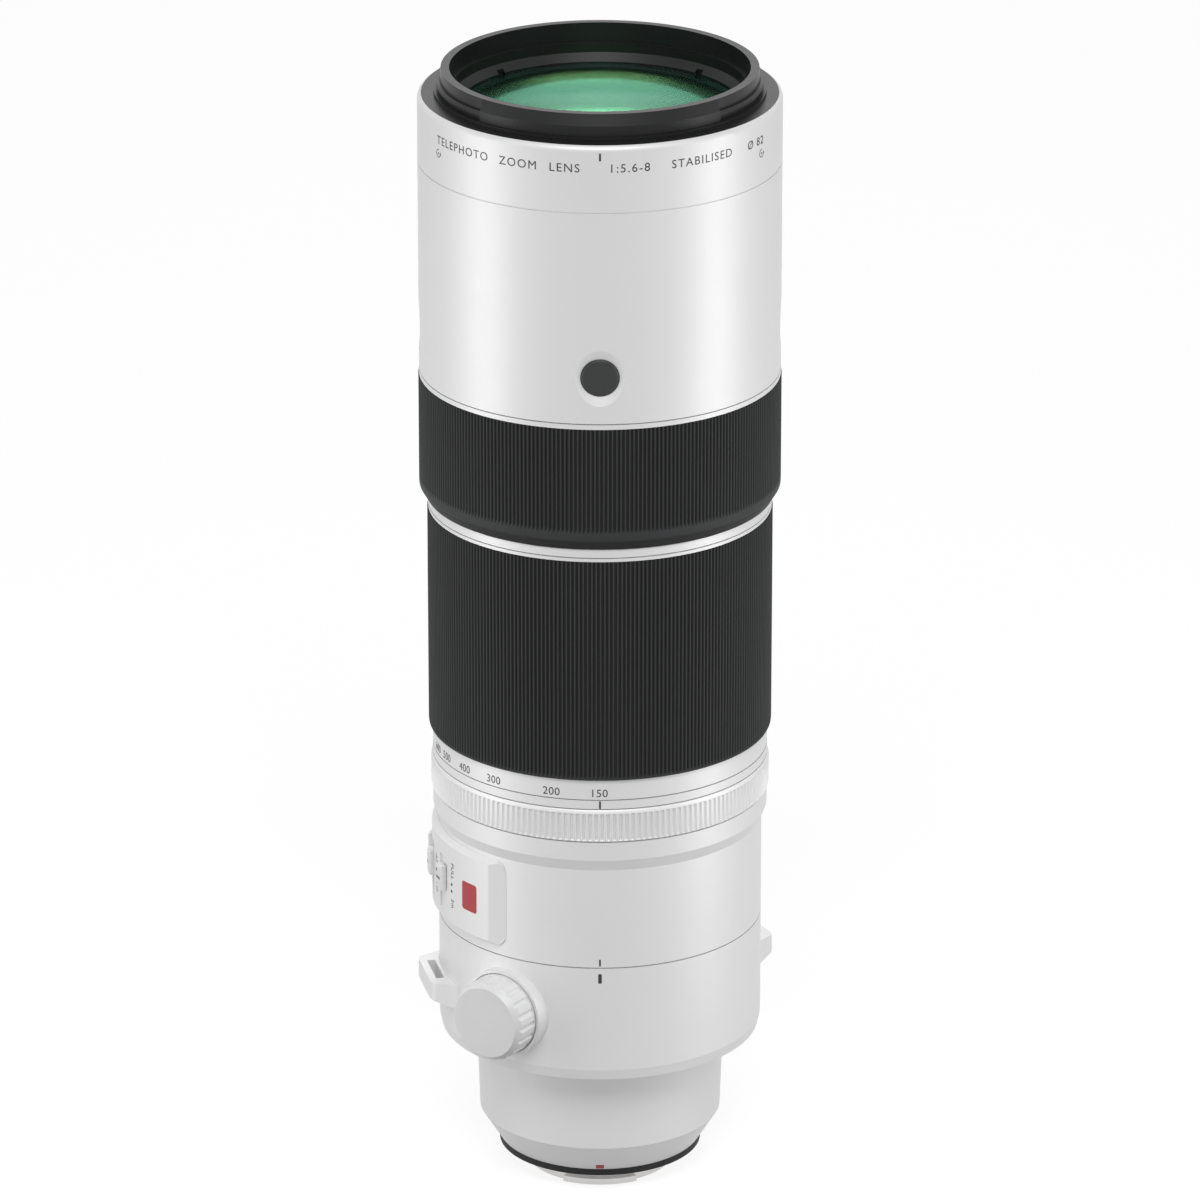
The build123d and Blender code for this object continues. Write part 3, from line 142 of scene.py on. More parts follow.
# Height of a capital as a share of the font's size
CAPITAL_SHARE = 0.72

# Camera: the photo's width and focal length in pixels, the sensor's width in mm, the camera's
# place in metres, how many degrees it looks down, and how far it sees
FRAME_PIXELS = 1200
FOCAL_PIXELS = 8500
SENSOR_WIDTH = 36
CAMERA_SPOT = (0, -2.1883, 0.9888)
CAMERA_DROP = 20.72
CAMERA_REACH = 50

# Studio: how far the floor reaches each way, the point that the lamps face, the floor's own
# shine, the light from all round on the lens, and the white that the camera sees behind it
FLOOR_REACH = 8.0
LAMP_TARGET = Vector((0, 0, 0.16))
FLOOR_SHINE = 0.8
SOFT_LIGHT = 0.28
BRIGHT_LIGHT = 1.0

# Each lamp's name, turn round the lens in degrees, height and distance, width, length and watts
LAMPS = (
    ("left_strip", 72, 0.16, 0.32, 0.12, 0.4, 0.38),
    ("right_strip", -72, 0.16, 0.32, 0.12, 0.4, 0.41),
    ("front_softbox", 0, 2.0, 1.6, 1.6, 1.0, 29.0),
    ("back_softbox", 180, 1.8, 1.9, 0.7, 0.6, 8.0),
)


def node_radius(node):
    """Outer radius of a round CAD node."""
    low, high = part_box(node)
    return max(high.x, -low.x)


class LensSizes(bpy.types.PropertyGroup):
    """Sizes that can be changed before the pieces are made."""

    rib_depth: bpy.props.FloatProperty(
        name="Rib depth",
        description="How deep the grooves of the two rubber grips are",
        default=0.5 * MM,
        unit="LENGTH",
    )
    aperture_rib_depth: bpy.props.FloatProperty(
        name="Aperture rib depth",
        description="How deep the grooves of the aperture ring are",
        default=0.5 * MM,
        unit="LENGTH",
    )
    focus_ribs: bpy.props.IntProperty(
        name="Focus ribs", description="Ribs round the focus grip", default=267
    )
    zoom_ribs: bpy.props.IntProperty(
        name="Zoom ribs", description="Ribs round the zoom grip", default=256
    )
    aperture_ribs: bpy.props.IntProperty(
        name="Aperture ribs", description="Ribs round the aperture ring", default=175
    )
    figure_height: bpy.props.FloatProperty(
        name="Figure height",
        description="Height of the figures on the zoom scale",
        default=2.3 * MM,
        unit="LENGTH",
    )
    lettering_height: bpy.props.FloatProperty(
        name="Lettering height",
        description="Height of the capitals round the front drum",
        default=2.4 * MM,
        unit="LENGTH",
    )
    switch_word_height: bpy.props.FloatProperty(
        name="Switch word height",
        description="Height of the capitals beside the switches",
        default=1.5 * MM,
        unit="LENGTH",
    )
    ink_thickness: bpy.props.FloatProperty(
        name="Ink thickness",
        description="How far the print stands on its surface",
        default=0.03 * MM,
        unit="LENGTH",
    )


class LensColours(bpy.types.PropertyGroup):
    """Colours that can be changed before the pieces are made."""

    white: bpy.props.FloatVectorProperty(
        name="Enamel",
        description="White enamel of the barrels",
        subtype="COLOR",
        size=3,
        default=(0.80, 0.80, 0.80),
    )
    rubber: bpy.props.FloatVectorProperty(
        name="Rubber",
        description="Rubber of the grips",
        subtype="COLOR",
        size=3,
        default=(0.03, 0.031, 0.032),
    )
    black: bpy.props.FloatVectorProperty(
        name="Black",
        description="Black enamel of the front ring",
        subtype="COLOR",
        size=3,
        default=(0.014, 0.0145, 0.015),
    )
    ink: bpy.props.FloatVectorProperty(
        name="Ink",
        description="Ink of the figures and marks",
        subtype="COLOR",
        size=3,
        default=(0.03, 0.03, 0.032),
    )
    grey_ink: bpy.props.FloatVectorProperty(
        name="Grey ink",
        description="Ink of the hood signs",
        subtype="COLOR",
        size=3,
        default=(0.17, 0.17, 0.175),
    )
    red: bpy.props.FloatVectorProperty(
        name="Red",
        description="Red of the badge and the mount mark",
        subtype="COLOR",
        size=3,
        default=(0.45, 0.022, 0.03),
    )


class Reading:
    """A value or colour in a material that takes part in sums."""

    def __init__(self, finish, socket):
        self.finish = finish
        self.socket = socket

    def __add__(self, other):
        return self.finish.maths("ADD", self, other)

    def __radd__(self, other):
        return self.finish.maths("ADD", other, self)

    def __sub__(self, other):
        return self.finish.maths("SUBTRACT", self, other)

    def __rsub__(self, other):
        return self.finish.maths("SUBTRACT", other, self)

    def __mul__(self, other):
        return self.finish.maths("MULTIPLY", self, other)

    def __rmul__(self, other):
        return self.finish.maths("MULTIPLY", other, self)

    def __pow__(self, other):
        return self.finish.maths("POWER", self, other)

    def __rpow__(self, other):
        return self.finish.maths("POWER", other, self)


class Finish:
    """A material, or the world, with the nodes that give it its look."""

    def __init__(self, name, owner=None):
        self.material = owner or bpy.data.materials.new(name)
        self.material.use_nodes = True
        self.tree = self.material.node_tree
        self.tree.nodes.clear()

    def node(self, kind, settings=(), inputs=(), output=0):
        """Add a node, make its settings, fill its inputs, and return one of its outputs."""
        node = self.tree.nodes.new(kind)
        for name, value in dict(settings).items():
            setattr(node, name, value)
        for name, value in dict(inputs).items():
            if isinstance(value, Reading):
                self.tree.links.new(value.socket, node.inputs[name])
            else:
                node.inputs[name].default_value = value
        return Reading(self, node.outputs[output]) if len(node.outputs) else None

    def maths(self, operation, first, second):
        """One sum of two values."""
        return self.node("ShaderNodeMath", {"operation": operation}, {0: first, 1: second})

    def seen(self):
        """1 for what the camera sees, straight or in gloss or glass, and 0 for other light."""
        rays = [
            self.node("ShaderNodeLightPath", output=f"Is {kind} Ray")
            for kind in ("Camera", "Glossy", "Transmission")
        ]
        return rays[0] + rays[1] + rays[2]

    def place(self):
        """Position on the object, in metres."""
        return self.node("ShaderNodeTexCoord", output="Object")

    def radius_and_level(self):
        """Distance from the axis, and height along it."""
        parts = self.node("ShaderNodeSeparateXYZ", inputs={"Vector": self.place()})
        outputs = parts.socket.node.outputs
        x, y, level = (Reading(self, outputs[name]) for name in ("X", "Y", "Z"))
        return (x * x + y * y) ** 0.5, level

    def noise(self, scale, detail=2.0, roughness=0.5, place=None):
        """Soft random value between 0 and 1."""
        return self.node(
            "ShaderNodeTexNoise",
            inputs={
                "Vector": place or self.place(),
                "Scale": scale,
                "Detail": detail,
                "Roughness": roughness,
            },
            output="Fac",
        )

    def blend(self, share, first, second):
        """Colour between two colours. Their sockets are 6 and 7, and the result's is 2."""
        return self.node(
            "ShaderNodeMix",
            {"data_type": "RGBA"},
            {
                0: share,
                6: first if isinstance(first, Reading) else (*first, 1),
                7: second if isinstance(second, Reading) else (*second, 1),
            },
            output=2,
        )

    def bump(self, height, strength, distance):
        """Normal of a surface that rises with a value."""
        return self.node(
            "ShaderNodeBump",
            inputs={"Height": height, "Strength": strength, "Distance": distance},
        )

    def surface(self, **inputs):
        """Principled surface from inputs named as its sockets, with _ for a space."""
        shader = self.node(
            "ShaderNodeBsdfPrincipled",
            inputs={name.replace("_", " "): value for name, value in inputs.items()},
        )
        self.node("ShaderNodeOutputMaterial", inputs={"Surface": shader})
        return self.material


def shaded(colour, factor):
    """A colour made darker or lighter."""
    return tuple(channel * factor for channel in colour)


def enamel(name, colour, roughness, pearl=0.0, gloss=0.5):
    """Sprayed enamel: fine orange peel, a faint change of tone, and pearl flakes in the white."""
    finish = Finish(name)
    cloud = finish.noise(scale=35.0, detail=3.0)
    peel = finish.noise(scale=900.0, detail=1.0)
    return finish.surface(
        Base_Color=finish.blend(cloud, shaded(colour, 0.975), shaded(colour, 1.015)),
        Roughness=roughness + 0.08 * finish.noise(scale=160.0, detail=3.0),
        Normal=finish.bump(peel, strength=0.035, distance=0.2 * MM),
        Metallic=pearl,
        Specular_IOR_Level=gloss,
    )


def rubber(name, colour, roughness, outer=None):
    """Moulded rubber: fine grain, dust that dulls it unevenly, and painted shade that darkens the
    grooves between the ribs towards their bottom.

    outer is the radius of the ribs' tops, where there are ribs.
    """
    finish = Finish(name)
    dust = finish.noise(scale=220.0, detail=4.0, roughness=0.6)
    grain = finish.noise(scale=5200.0)
    tone = finish.blend(dust, shaded(colour, 0.8), shaded(colour, 1.25))
    # Painted shade: where there are ribs, the colour falls from the ribs' tops to a fifth of it at
    # the bottom of the grooves
    if outer:
        depth = bpy.context.scene.lens_sizes.rib_depth
        radius = finish.radius_and_level()[0]
        groove_shade = (radius - (outer - depth)) * (1 / depth)
        tone = finish.blend(groove_shade, shaded(colour, 0.2), tone)
    return finish.surface(
        Base_Color=tone,
        Roughness=roughness + 0.14 * dust,
        Normal=finish.bump(grain, strength=0.25, distance=0.05 * MM),
        Specular_IOR_Level=0.28,
    )


def plastic(name, colour, roughness, grain_size=2600.0):
    """Moulded plastic with a spark-eroded grain."""
    finish = Finish(name)
    grain = finish.noise(scale=grain_size)
    tone = finish.noise(scale=60.0, detail=3.0)
    return finish.surface(
        Base_Color=finish.blend(tone, shaded(colour, 0.93), shaded(colour, 1.06)),
        Roughness=roughness + 0.1 * tone,
        Normal=finish.bump(grain, strength=0.12, distance=0.06 * MM),
    )


def turned_metal(name, colour, roughness, metallic=1.0, gloss=0.5):
    """Metal turned on a lathe, with the fine rings that the tool leaves."""
    finish = Finish(name)
    radius, level = finish.radius_and_level()
    rings_per_metre = 7000.0
    along = finish.node(
        "ShaderNodeCombineXYZ",
        inputs={"X": radius * rings_per_metre, "Y": level * rings_per_metre, "Z": 0.0},
    )
    rings = finish.noise(scale=1.0, place=along)
    haze = finish.noise(scale=90.0, detail=3.0)
    return finish.surface(
        Base_Color=finish.blend(haze, shaded(colour, 0.92), shaded(colour, 1.05)),
        Metallic=metallic,
        Specular_IOR_Level=gloss,
        Roughness=roughness + 0.12 * rings,
        Normal=finish.bump(rings, strength=0.12, distance=0.03 * MM),
    )


def coated_glass(name):
    """Lens glass under a coating that reflects green."""
    finish = Finish(name)
    wipe = finish.noise(scale=55.0, detail=4.0, roughness=0.6)
    return finish.surface(
        Base_Color=(0.25, 0.5, 0.4, 1.0),
        Roughness=0.1 + 0.04 * wipe,
        IOR=1.6,
        Transmission_Weight=1.0,
        Thin_Film_Thickness=510.0,
        Thin_Film_IOR=1.38,
        Specular_Tint=(0.42, 1.0, 0.76, 1.0),
    )


def gold(name):
    """Gold plating with light wipe marks along the row of pins."""
    finish = Finish(name)
    wear = finish.noise(scale=1500.0, detail=3.0)
    return finish.surface(
        Base_Color=finish.blend(wear, (0.75, 0.52, 0.2), (0.9, 0.68, 0.32)),
        Metallic=1.0,
        Roughness=0.16 + 0.15 * wear,
        Normal=finish.bump(wear, strength=0.08, distance=0.03 * MM),
    )


def circuit(name):
    """Green solder mask over copper tracks."""
    finish = Finish(name)
    tracks = finish.node(
        "ShaderNodeTexBrick",
        {"offset": 0.37},
        {
            "Vector": finish.place(),
            "Color1": (0.012, 0.1, 0.05, 1),
            "Color2": (0.016, 0.13, 0.06, 1),
            "Mortar": (0.05, 0.24, 0.1, 1),
            "Scale": 240.0,
            "Mortar Size": 0.05,
            "Brick Width": 1.7,
            "Row Height": 0.28,
        },
        output="Color",
    )
    ridge = finish.node("ShaderNodeRGBToBW", inputs={"Color": tracks})
    return finish.surface(
        Base_Color=tracks,
        Roughness=0.28 + 0.2 * finish.noise(scale=300.0),
        Normal=finish.bump(ridge, strength=0.3, distance=0.04 * MM),
    )


def ink(name, colour):
    """Printed ink, thinner in places."""
    finish = Finish(name)
    cover = finish.noise(scale=2400.0, detail=3.0)
    return finish.surface(
        Base_Color=finish.blend(cover, shaded(colour, 0.85), shaded(colour, 1.2)),
        Roughness=0.45 + 0.1 * cover,
    )


def make_finishes():
    """All finishes, by the material slots of the record and by the marks' names."""
    colours = bpy.context.scene.lens_colours
    white = tuple(colours.white)
    black = tuple(colours.black)
    grip = tuple(colours.rubber)
    chrome = (0.62, 0.61, 0.6)
    steel = (0.4, 0.4, 0.41)
    alloy = (0.6, 0.6, 0.61)
    blade = (0.03, 0.03, 0.032)
    focus_outer = node_radius("focus_grip")
    zoom_outer = node_radius("zoom_grip")
    return {
        "white_enamel": enamel("white_enamel_paint", white, 0.42, pearl=0.25),
        "black_enamel": enamel("black_enamel_paint", shaded(black, 0.7), 0.34, gloss=0.28),
        "black_rubber": rubber("grip_rubber", grip, 0.56),
        "focus_rubber": rubber("focus_grip_rubber", grip, 0.56, focus_outer),
        "zoom_rubber": rubber("zoom_grip_rubber", grip, 0.56, zoom_outer),
        "seal_rubber": rubber("mount_seal_rubber", shaded(black, 0.8), 0.55),
        "coated_glass": coated_glass("lens_glass"),
        "mount_chrome": turned_metal("turned_chrome", chrome, 0.22),
        "screw_steel": turned_metal("screw_steel_finish", steel, 0.3),
        "black_anodised": turned_metal("anodised_black", shaded(black, 0.6), 0.45, 0.0, 0.2),
        "bare_alloy": turned_metal("machined_alloy", alloy, 0.32),
        "blade_steel": turned_metal("blade_coating", blade, 0.42, 0.6),
        "black_plastic": plastic("button_plastic", shaded(black, 1.3), 0.42),
        "pale_plastic": plastic("knob_plastic", white, 0.32),
        "grey_plastic": plastic("set_button_plastic", shaded(white, 0.9), 0.34),
        "contact_gold": gold("gold_plating"),
        "board_green": circuit("solder_mask"),
        "ink": ink("printed_ink", tuple(colours.ink)),
        "grey_ink": ink("printed_grey_ink", tuple(colours.grey_ink)),
        "red": plastic("red_lacquer", tuple(colours.red), 0.3, 1400.0),
    }


finishes = {}


def finished(name, mesh, finish, body, replaced=()):
    """Make an object of a bmesh, at the origin, and let it ride on its body."""
    if not mesh.faces:
        raise RuntimeError(f"{name} has no faces")
    data = bpy.data.meshes.new(name)
    mesh.to_mesh(data)
    mesh.free()
    data.materials.append(finishes[finish])
    piece = bpy.data.objects.new(name, data)
    bpy.context.scene.collection.objects.link(piece)
    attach(piece, body)
    if replaced:
        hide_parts(*replaced)
    return piece


def smoothed(piece, angle):
    """Smooth shading that keeps edges sharper than an angle."""
    piece.data.shade_smooth()
    piece.data.set_sharp_from_angle(angle=radians(angle))


def ribbed_ring(ribs, stations):
    """Closed ring with ribs along the axis.

    A station is (radius, depth of the grooves, level). The first one has no grooves.
    """

    def in_groove(vert):
        point = round(atan2(vert.co.y, vert.co.x) / (2 * pi) * POINTS_PER_RIB * ribs)
        return point % POINTS_PER_RIB > 1

    last_radius, last_depth, last_level = stations[0]
    mesh = bmesh.new()
    bmesh.ops.create_circle(mesh, segments=POINTS_PER_RIB * ribs, radius=last_radius)
    bmesh.ops.translate(mesh, vec=(0, 0, last_level), verts=mesh.verts[:])
    edges = mesh.edges[:]
    for radius, depth, level in (*stations[1:], stations[0]):
        geometry = bmesh.ops.extrude_edge_only(mesh, edges=edges)["geom"]
        loop = {item for item in geometry if isinstance(item, bmesh.types.BMVert)}
        edges = [
            item
            for item in geometry
            if isinstance(item, bmesh.types.BMEdge) and set(item.verts) <= loop
        ]
        wider = radius / last_radius
        deeper = (radius - depth) / (last_radius - last_depth)
        ridges = [vert for vert in loop if not in_groove(vert)]
        grooves = [vert for vert in loop if in_groove(vert)]
        bmesh.ops.scale(mesh, vec=(wider, wider, 1), verts=ridges)
        bmesh.ops.scale(mesh, vec=(deeper, deeper, 1), verts=grooves)
        bmesh.ops.translate(mesh, vec=(0, 0, level - last_level), verts=list(loop))
        last_radius, last_depth, last_level = radius, depth, level
    bmesh.ops.remove_doubles(mesh, verts=mesh.verts[:], dist=0.002 * MM)
    bmesh.ops.recalc_face_normals(mesh, faces=mesh.faces[:])
    return mesh


def ribbed_piece(name, node, body, finish, ribs, depth, outline, crease):
    """Ribbed ring in place of a CAD node. crease is the angle at which its edges stay sharp."""
    low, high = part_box(node)
    ends = {"foot": (low.z, MM), "head": (high.z, -MM)}
    stations = [
        (high.x - inset * MM, share * depth, ends[end][0] + distance * ends[end][1])
        for inset, share, end, distance in outline
    ]
    piece = finished(name, ribbed_ring(ribs, stations), finish, body, (node,))
    smoothed(piece, crease)


def wrapped(mesh, radius, turn, level, lean=0.0, foot=0.0):
    """Bend a flat mesh round the axis: its x runs round to +X, its y up and its z outward.

    turn goes in degrees from the front towards -X. lean is how much the radius grows with each
    unit of level above foot.
    """
    for vert in mesh.verts:
        angle = radians(-90 - turn) + vert.co.x / radius
        height = level + vert.co.y
        reach = radius + vert.co.z + lean * (height - foot)
        vert.co = Vector((reach * cos(angle), reach * sin(angle), height))
    return mesh


def lettering(text, height, spacing, quarter_turns=0):
    """Flat mesh of a line of text, centred, with the thickness of its ink."""
    curve = bpy.data.curves.new("lettering", "FONT")
    curve.body = text
    curve.size = height / CAPITAL_SHARE
    curve.space_character = spacing
    curve.extrude = bpy.context.scene.lens_sizes.ink_thickness
    curve.resolution_u = 4
    carrier = bpy.data.objects.new("lettering", curve)
    bpy.context.scene.collection.objects.link(carrier)
    bpy.context.view_layer.update()
    flat = bpy.data.meshes.new_from_object(carrier)
    bpy.data.objects.remove(carrier)
    mesh = bmesh.new()
    mesh.from_mesh(flat)
    bpy.data.meshes.remove(flat)
    spread = [[vert.co[axis] for vert in mesh.verts] for axis in range(2)]
    middle = [(min(values) + max(values)) / 2 for values in spread]
    bmesh.ops.translate(mesh, vec=(-middle[0], -middle[1], 0), verts=mesh.verts[:])
    turned = Matrix.Rotation(quarter_turns * pi / 2, 3, "Z")
    bmesh.ops.rotate(mesh, verts=mesh.verts[:], matrix=turned)
    return mesh


def thickened(mesh):
    """Give a flat mesh the thickness of its ink, half of it sunk."""
    ink_thickness = bpy.context.scene.lens_sizes.ink_thickness
    geometry = bmesh.ops.extrude_face_region(mesh, geom=mesh.faces[:])["geom"]
    raised = [item for item in geometry if isinstance(item, bmesh.types.BMVert)]
    bmesh.ops.translate(mesh, vec=(0, 0, 2 * ink_thickness), verts=raised)
    bmesh.ops.translate(mesh, vec=(0, 0, -ink_thickness), verts=mesh.verts[:])
    bmesh.ops.recalc_face_normals(mesh, faces=mesh.faces[:])
    return mesh


def pill(width, height, corner):
    """Flat bar with rounded corners, its sizes in mm."""
    mesh = bmesh.new()
    bmesh.ops.create_grid(mesh, x_segments=6, y_segments=1, size=0.5)
    bmesh.ops.scale(mesh, vec=(width * MM, height * MM, 1), verts=mesh.verts[:])
    corners = [vert for vert in mesh.verts if len(vert.link_edges) == 2]
    bmesh.ops.bevel(
        mesh,
        geom=corners,
        offset=corner * MM,
        segments=4,
        profile=0.5,
        affect="VERTICES",
        material=-1,
    )
    return thickened(mesh)


def hood_sign():
    """Open circle with an arrowhead at its end and a dot in its middle, as a hood's sign."""
    dot_radius = 0.3 * MM
    arrow_radius = 0.55 * MM
    arrow_reach = 1.05 * MM
    line_edges = (0.92 * MM, 1.2 * MM)
    mesh = bmesh.new()
    bmesh.ops.create_circle(mesh, segments=10, radius=dot_radius, cap_ends=True)
    arrow = bmesh.ops.create_circle(mesh, segments=3, radius=arrow_radius, cap_ends=True)["verts"]
    bmesh.ops.rotate(mesh, verts=arrow, matrix=Matrix.Rotation(pi / 2, 3, "Z"))
    bmesh.ops.translate(mesh, vec=(arrow_reach, 0, 0), verts=arrow)
    start = [mesh.verts.new((reach, 0, 0)) for reach in line_edges]
    bmesh.ops.spin(
        mesh,
        geom=[*start, mesh.edges.new(start)],
        axis=(0, 0, 1),
        cent=(0, 0, 0),
        angle=radians(-285),
        steps=28,
    )
    return thickened(mesh)


class LENS_OT_paint(bpy.types.Operator):
    """Give every CAD node the finish of its material slot"""

    bl_idname = "zoom_lens.paint"
    bl_label = "Paint the CAD nodes"

    def execute(self, context):
        finishes.update(make_finishes())
        for name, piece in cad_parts.items():
            if not piece.material_slots:
                raise RuntimeError(f"{name} has no material slot")
            for slot in piece.material_slots:
                kind = slot.material.name.split(".")[0]
                slot.material = finishes[kind]
        return {"FINISHED"}


class LENS_OT_grips(bpy.types.Operator):
    """Make the ribbed rubber of the focus ring and the zoom ring"""

    bl_idname = "zoom_lens.grips"
    bl_label = "Ribbed grips"

    def execute(self, context):
        sizes = context.scene.lens_sizes
        for kind, ribs, outline in (
            ("focus", sizes.focus_ribs, FOCUS_GRIP),
            ("zoom", sizes.zoom_ribs, ZOOM_GRIP),
        ):
            ribbed_piece(
                name=f"ribbed_{kind}_grip",
                node=f"{kind}_grip",
                body=f"{kind}_ring",
                finish=f"{kind}_rubber",
                ribs=ribs,
                depth=sizes.rib_depth,
                outline=outline,
                crease=40,
            )
        return {"FINISHED"}


class LENS_OT_aperture_ring(bpy.types.Operator):
    """Make the white aperture ring with its fine ribs"""

    bl_idname = "zoom_lens.aperture_ring"
    bl_label = "Aperture ring"

    def execute(self, context):
        sizes = context.scene.lens_sizes
        ribbed_piece(
            name="ribbed_aperture_ring",
            node="aperture_ring",
            body="aperture_ring",
            finish="white_enamel",
            ribs=sizes.aperture_ribs,
            depth=sizes.aperture_rib_depth,
            outline=APERTURE_RING,
            crease=35,
        )
        return {"FINISHED"}


class LENS_OT_zoom_scale(bpy.types.Operator):
    """Print the zoom scale's figures on the zoom ring"""

    bl_idname = "zoom_lens.zoom_scale"
    bl_label = "Zoom scale"

    def execute(self, context):
        height = context.scene.lens_sizes.figure_height
        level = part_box("zoom_ring")[0].z + SCALE_LIFT
        for figures, turn in (
            ("150", 0.0),
            ("200", 16.7),
            ("300", 39.0),
            ("400", 53.5),
            ("500", 65.7),
            ("600", 74.8),
        ):
            flat = lettering(figures, height, spacing=1.05)
            mesh = wrapped(flat, SCALE_RADIUS, turn, level)
            finished(f"scale_{figures}", mesh, "ink", "zoom_ring")
        return {"FINISHED"}


class LENS_OT_index_marks(bpy.types.Operator):
    """Print the index lines on the barrel and the collar, and the red mark at the mount"""

    bl_idname = "zoom_lens.index_marks"
    bl_label = "Index marks"

    def execute(self, context):
        front = node_radius("front_barrel")
        index = node_radius("index_ring")
        low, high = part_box("index_ring")
        for name, body, shape, radius, level in (
            ("hood_mark", "barrel", HOOD_MARK, front, HOOD_MARK_LEVEL),
            ("zoom_mark", "barrel", ZOOM_MARK, index, (low.z + high.z) / 2),
            ("barrel_mark", "barrel", BARREL_MARK, REAR_DRUM_RADIUS, BARREL_MARK_LEVEL),
            ("collar_mark", "collar", COLLAR_MARK, REAR_DRUM_RADIUS, COLLAR_MARK_LEVEL),
        ):
            finished(name, wrapped(pill(*shape), radius, 0, level), "ink", body)
        flat = pill(*MOUNT_MARK)
        mesh = wrapped(flat, CONE_RADIUS, 0, MOUNT_MARK_LEVEL, CONE_LEAN, CONE_FOOT)
        finished("mount_mark", mesh, "red", "barrel")
        return {"FINISHED"}


class LENS_OT_front_print(bpy.types.Operator):
    """Print the line of lettering and the two hood signs on the front drum"""

    bl_idname = "zoom_lens.front_print"
    bl_label = "Front print"

    def execute(self, context):
        front = node_radius("front_barrel")
        height = context.scene.lens_sizes.lettering_height
        for name, text, turn in (
            ("word_telephoto", "TELEPHOTO", 49.5),
            ("word_zoom", "ZOOM", 26.5),
            ("word_lens", "LENS", 11.0),
            ("word_speed", "1:5.6-8", -9.5),
            ("word_stabilised", "STABILISED", -34.0),
            ("word_filter", "Ø 82", -57.5),
        ):
            flat = lettering(text, height, spacing=1.2)
            mesh = wrapped(flat, front, turn, LETTERING_LEVEL)
            finished(name, mesh, "ink", "barrel")
        for side, turn in (("left", HOOD_SIGN_TURN), ("right", -HOOD_SIGN_TURN)):
            mesh = wrapped(hood_sign(), front, turn, HOOD_SIGN_LEVEL)
            finished(f"hood_sign_{side}", mesh, "grey_ink", "barrel")
        return {"FINISHED"}


class LENS_OT_badge(bpy.types.Operator):
    """Fix the plain red badge on the switch panel"""

    bl_idname = "zoom_lens.badge"
    bl_label = "Badge"

    def execute(self, context):
        mesh = wrapped(pill(*BADGE), PANEL_RADIUS, BADGE_TURN, BADGE_LEVEL)
        finished("badge", mesh, "red", "barrel")
        return {"FINISHED"}


class LENS_OT_switch_marks(bpy.types.Operator):
    """Print the switches' words and dots on the panel, and the marks on their knobs"""

    bl_idname = "zoom_lens.switch_marks"
    bl_label = "Switch marks"

    def execute(self, context):
        height = context.scene.lens_sizes.switch_word_height
        for name, text, turn, level in (
            ("range_near", "FULL", 60.6, 89.6),
            ("range_far", "5m", 60.6, 80.0),
            ("focus_auto", "AF", 75.5, 89.0),
            ("focus_hand", "MF", 75.5, 80.4),
            ("steady_on", "ON", 90.5, 89.0),
            ("steady_off", "OFF", 90.5, 80.0),
        ):
            flat = lettering(text, height, spacing=1.1, quarter_turns=-1)
            mesh = wrapped(flat, PANEL_RADIUS, turn, level * MM)
            finished(name, mesh, "ink", "barrel")
        for number, turn in enumerate((61.2, 76.1, 91.1)):
            for dot, level in enumerate((85.6, 83.6)):
                mesh = wrapped(pill(*SWITCH_DOT), PANEL_RADIUS, turn, level * MM)
                finished(f"switch_dot_{number}_{dot}", mesh, "ink", "barrel")
        for number in range(1, 4):
            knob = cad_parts[f"switch_knob_{number}"]
            corners = [knob.matrix_world @ vert.co for vert in knob.data.vertices]
            top = max(corner.xy.length for corner in corners)
            low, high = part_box(knob.name)
            centre = (low + high) / 2
            turn = -90 - degrees(atan2(centre.y, centre.x))
            mesh = wrapped(pill(*KNOB_MARK), top, turn, centre.z)
            finished(f"knob_mark_{number}", mesh, "ink", f"switch_knob_{number}")
        return {"FINISHED"}


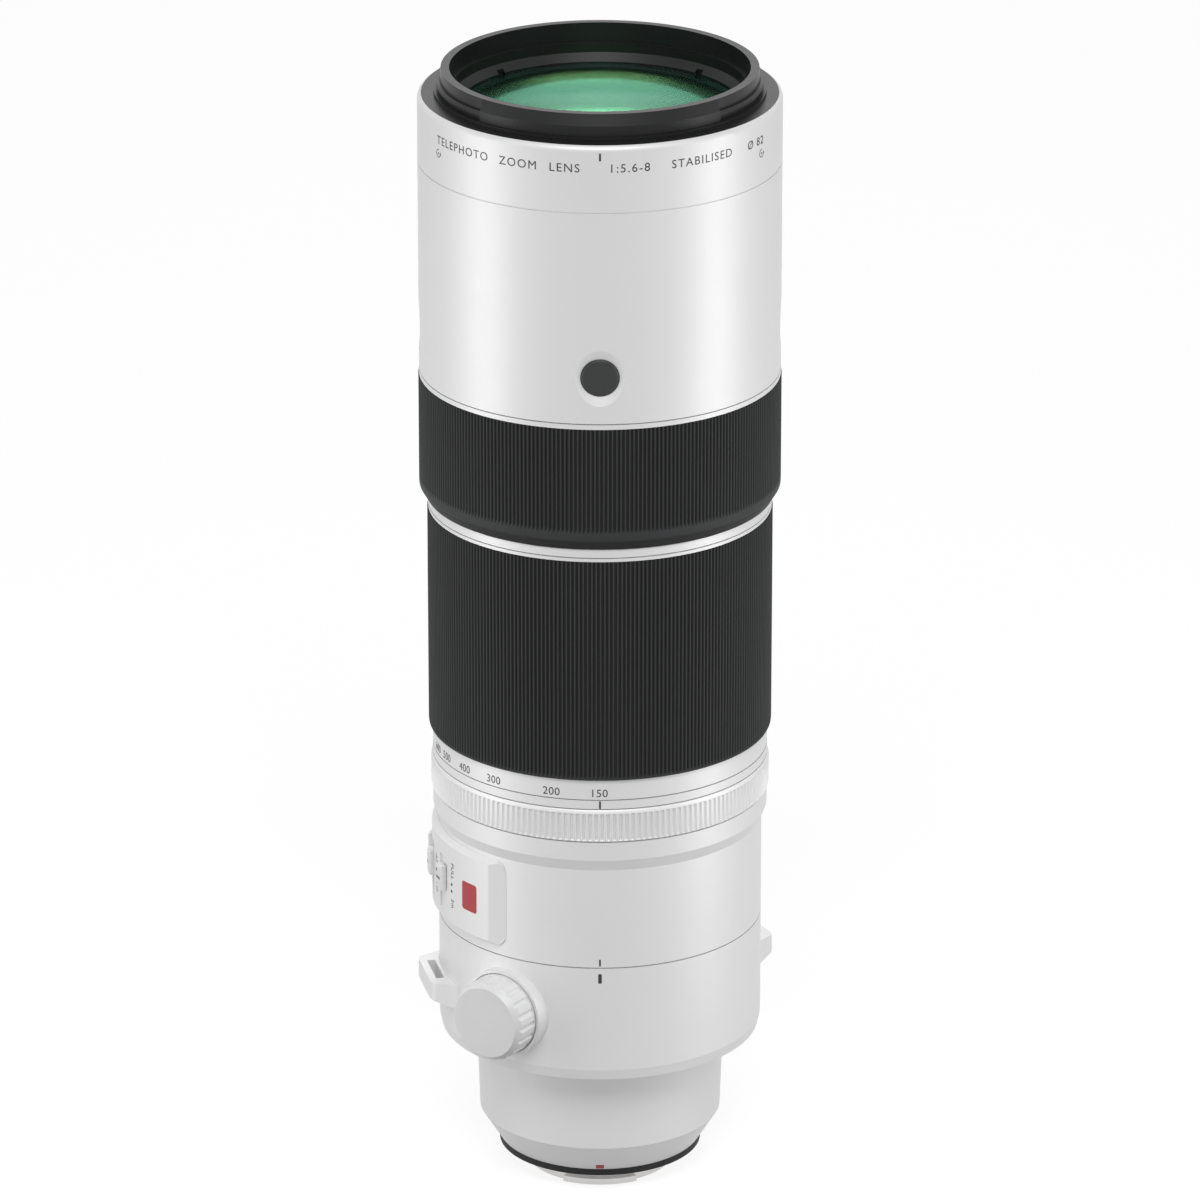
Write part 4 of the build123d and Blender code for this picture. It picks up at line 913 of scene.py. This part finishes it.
class LENS_OT_stage(bpy.types.Operator):
    """Set up the floor, the lamps, the world and the camera"""

    bl_idname = "zoom_lens.stage"
    bl_label = "Stage"

    def execute(self, context):
        scene = context.scene
        self.lay_floor(scene)
        self.light_world(scene)
        self.hang_lamps(scene)
        self.set_camera(scene)
        scene.view_settings.view_transform = "Standard"
        return {"FINISHED"}

    def lay_floor(self, scene):
        """Floor of pale paper at the lens's lowest point."""
        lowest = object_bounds()[0].z
        mesh = bmesh.new()
        bmesh.ops.create_grid(mesh, x_segments=1, y_segments=1, size=FLOOR_REACH)
        data = bpy.data.meshes.new("floor")
        mesh.to_mesh(data)
        mesh.free()
        data.transform(Matrix.Translation((0, 0, lowest)))
        data.materials.append(self.floor_finish())
        floor = bpy.data.objects.new("floor", data)
        scene.collection.objects.link(floor)
        floor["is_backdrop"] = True

    def floor_finish(self):
        """Pale paper, shown white where it isn't in shadow."""
        finish = Finish("studio_paper")
        fibre = finish.noise(scale=300.0, detail=3.0)
        paper = finish.node(
            "ShaderNodeBsdfDiffuse",
            inputs={"Color": finish.blend(fibre, (0.3, 0.3, 0.3), (0.31, 0.31, 0.31))},
        )
        shine = finish.node(
            "ShaderNodeEmission", inputs={"Strength": FLOOR_SHINE * finish.seen()}
        )
        both = finish.node("ShaderNodeAddShader", inputs={0: paper, 1: shine})
        finish.node("ShaderNodeOutputMaterial", inputs={"Surface": both})
        return finish.material

    def light_world(self, scene):
        """Even light from all round, shown white behind the lens."""
        world = bpy.data.worlds.new("studio")
        air = Finish("studio_air", world)
        soft, bright = (
            air.node("ShaderNodeBackground", inputs={"Color": WHITE, "Strength": strength})
            for strength in (SOFT_LIGHT, BRIGHT_LIGHT)
        )
        both = air.node("ShaderNodeMixShader", inputs={0: air.seen(), 1: soft, 2: bright})
        air.node("ShaderNodeOutputWorld", inputs={"Surface": both})
        scene.world = world

    def hang_lamps(self, scene):
        """Soft lamps round the lens, out of the camera's sight."""
        for name, turn, height, distance, width, length, watts in LAMPS:
            lamp = bpy.data.lights.new(name, "AREA")
            lamp.shape = "RECTANGLE"
            lamp.size = width
            lamp.size_y = length
            lamp.energy = watts
            angle = radians(-90 - turn)
            spot = Vector((distance * cos(angle), distance * sin(angle), height))
            holder = bpy.data.objects.new(name, lamp)
            holder.location = spot
            holder.visible_camera = False
            holder.rotation_euler = (LAMP_TARGET - spot).to_track_quat("-Z", "Y").to_euler()
            scene.collection.objects.link(holder)

    def set_camera(self, scene):
        """Camera at the photo's viewing angle."""
        data = bpy.data.cameras.new("camera")
        data.sensor_width = SENSOR_WIDTH
        data.lens = FOCAL_PIXELS * SENSOR_WIDTH / FRAME_PIXELS
        data.clip_end = CAMERA_REACH
        camera = bpy.data.objects.new("camera", data)
        camera.location = CAMERA_SPOT
        camera.rotation_euler = (radians(90 - CAMERA_DROP), 0, 0)
        scene.collection.objects.link(camera)
        scene.camera = camera


class LENS_PT_panel(bpy.types.Panel):
    """Lists the steps that dress the lens"""

    bl_idname = "LENS_PT_panel"
    bl_label = "Zoom Lens"
    bl_space_type = "VIEW_3D"
    bl_region_type = "UI"
    bl_category = "Zoom Lens"

    def draw(self, context):
        for group in (context.scene.lens_sizes, context.scene.lens_colours):
            for name in group.bl_rna.properties.keys():
                if name not in ("rna_type", "name"):
                    self.layout.prop(group, name)
        for step in STEPS:
            self.layout.operator(step.bl_idname)


STEPS = (
    LENS_OT_paint,
    LENS_OT_grips,
    LENS_OT_aperture_ring,
    LENS_OT_zoom_scale,
    LENS_OT_index_marks,
    LENS_OT_front_print,
    LENS_OT_badge,
    LENS_OT_switch_marks,
    LENS_OT_stage,
)
CLASSES = (LensSizes, LensColours, *STEPS, LENS_PT_panel)


def register():
    for item in CLASSES:
        bpy.utils.register_class(item)
    bpy.types.Scene.lens_sizes = bpy.props.PointerProperty(type=LensSizes)
    bpy.types.Scene.lens_colours = bpy.props.PointerProperty(type=LensColours)


def unregister():
    del bpy.types.Scene.lens_colours
    del bpy.types.Scene.lens_sizes
    for item in reversed(CLASSES):
        bpy.utils.unregister_class(item)


def main():
    register()
    for step in STEPS:
        group, name = step.bl_idname.split(".")
        getattr(getattr(bpy.ops, group), name)()


if __name__ == "__main__":
    main()
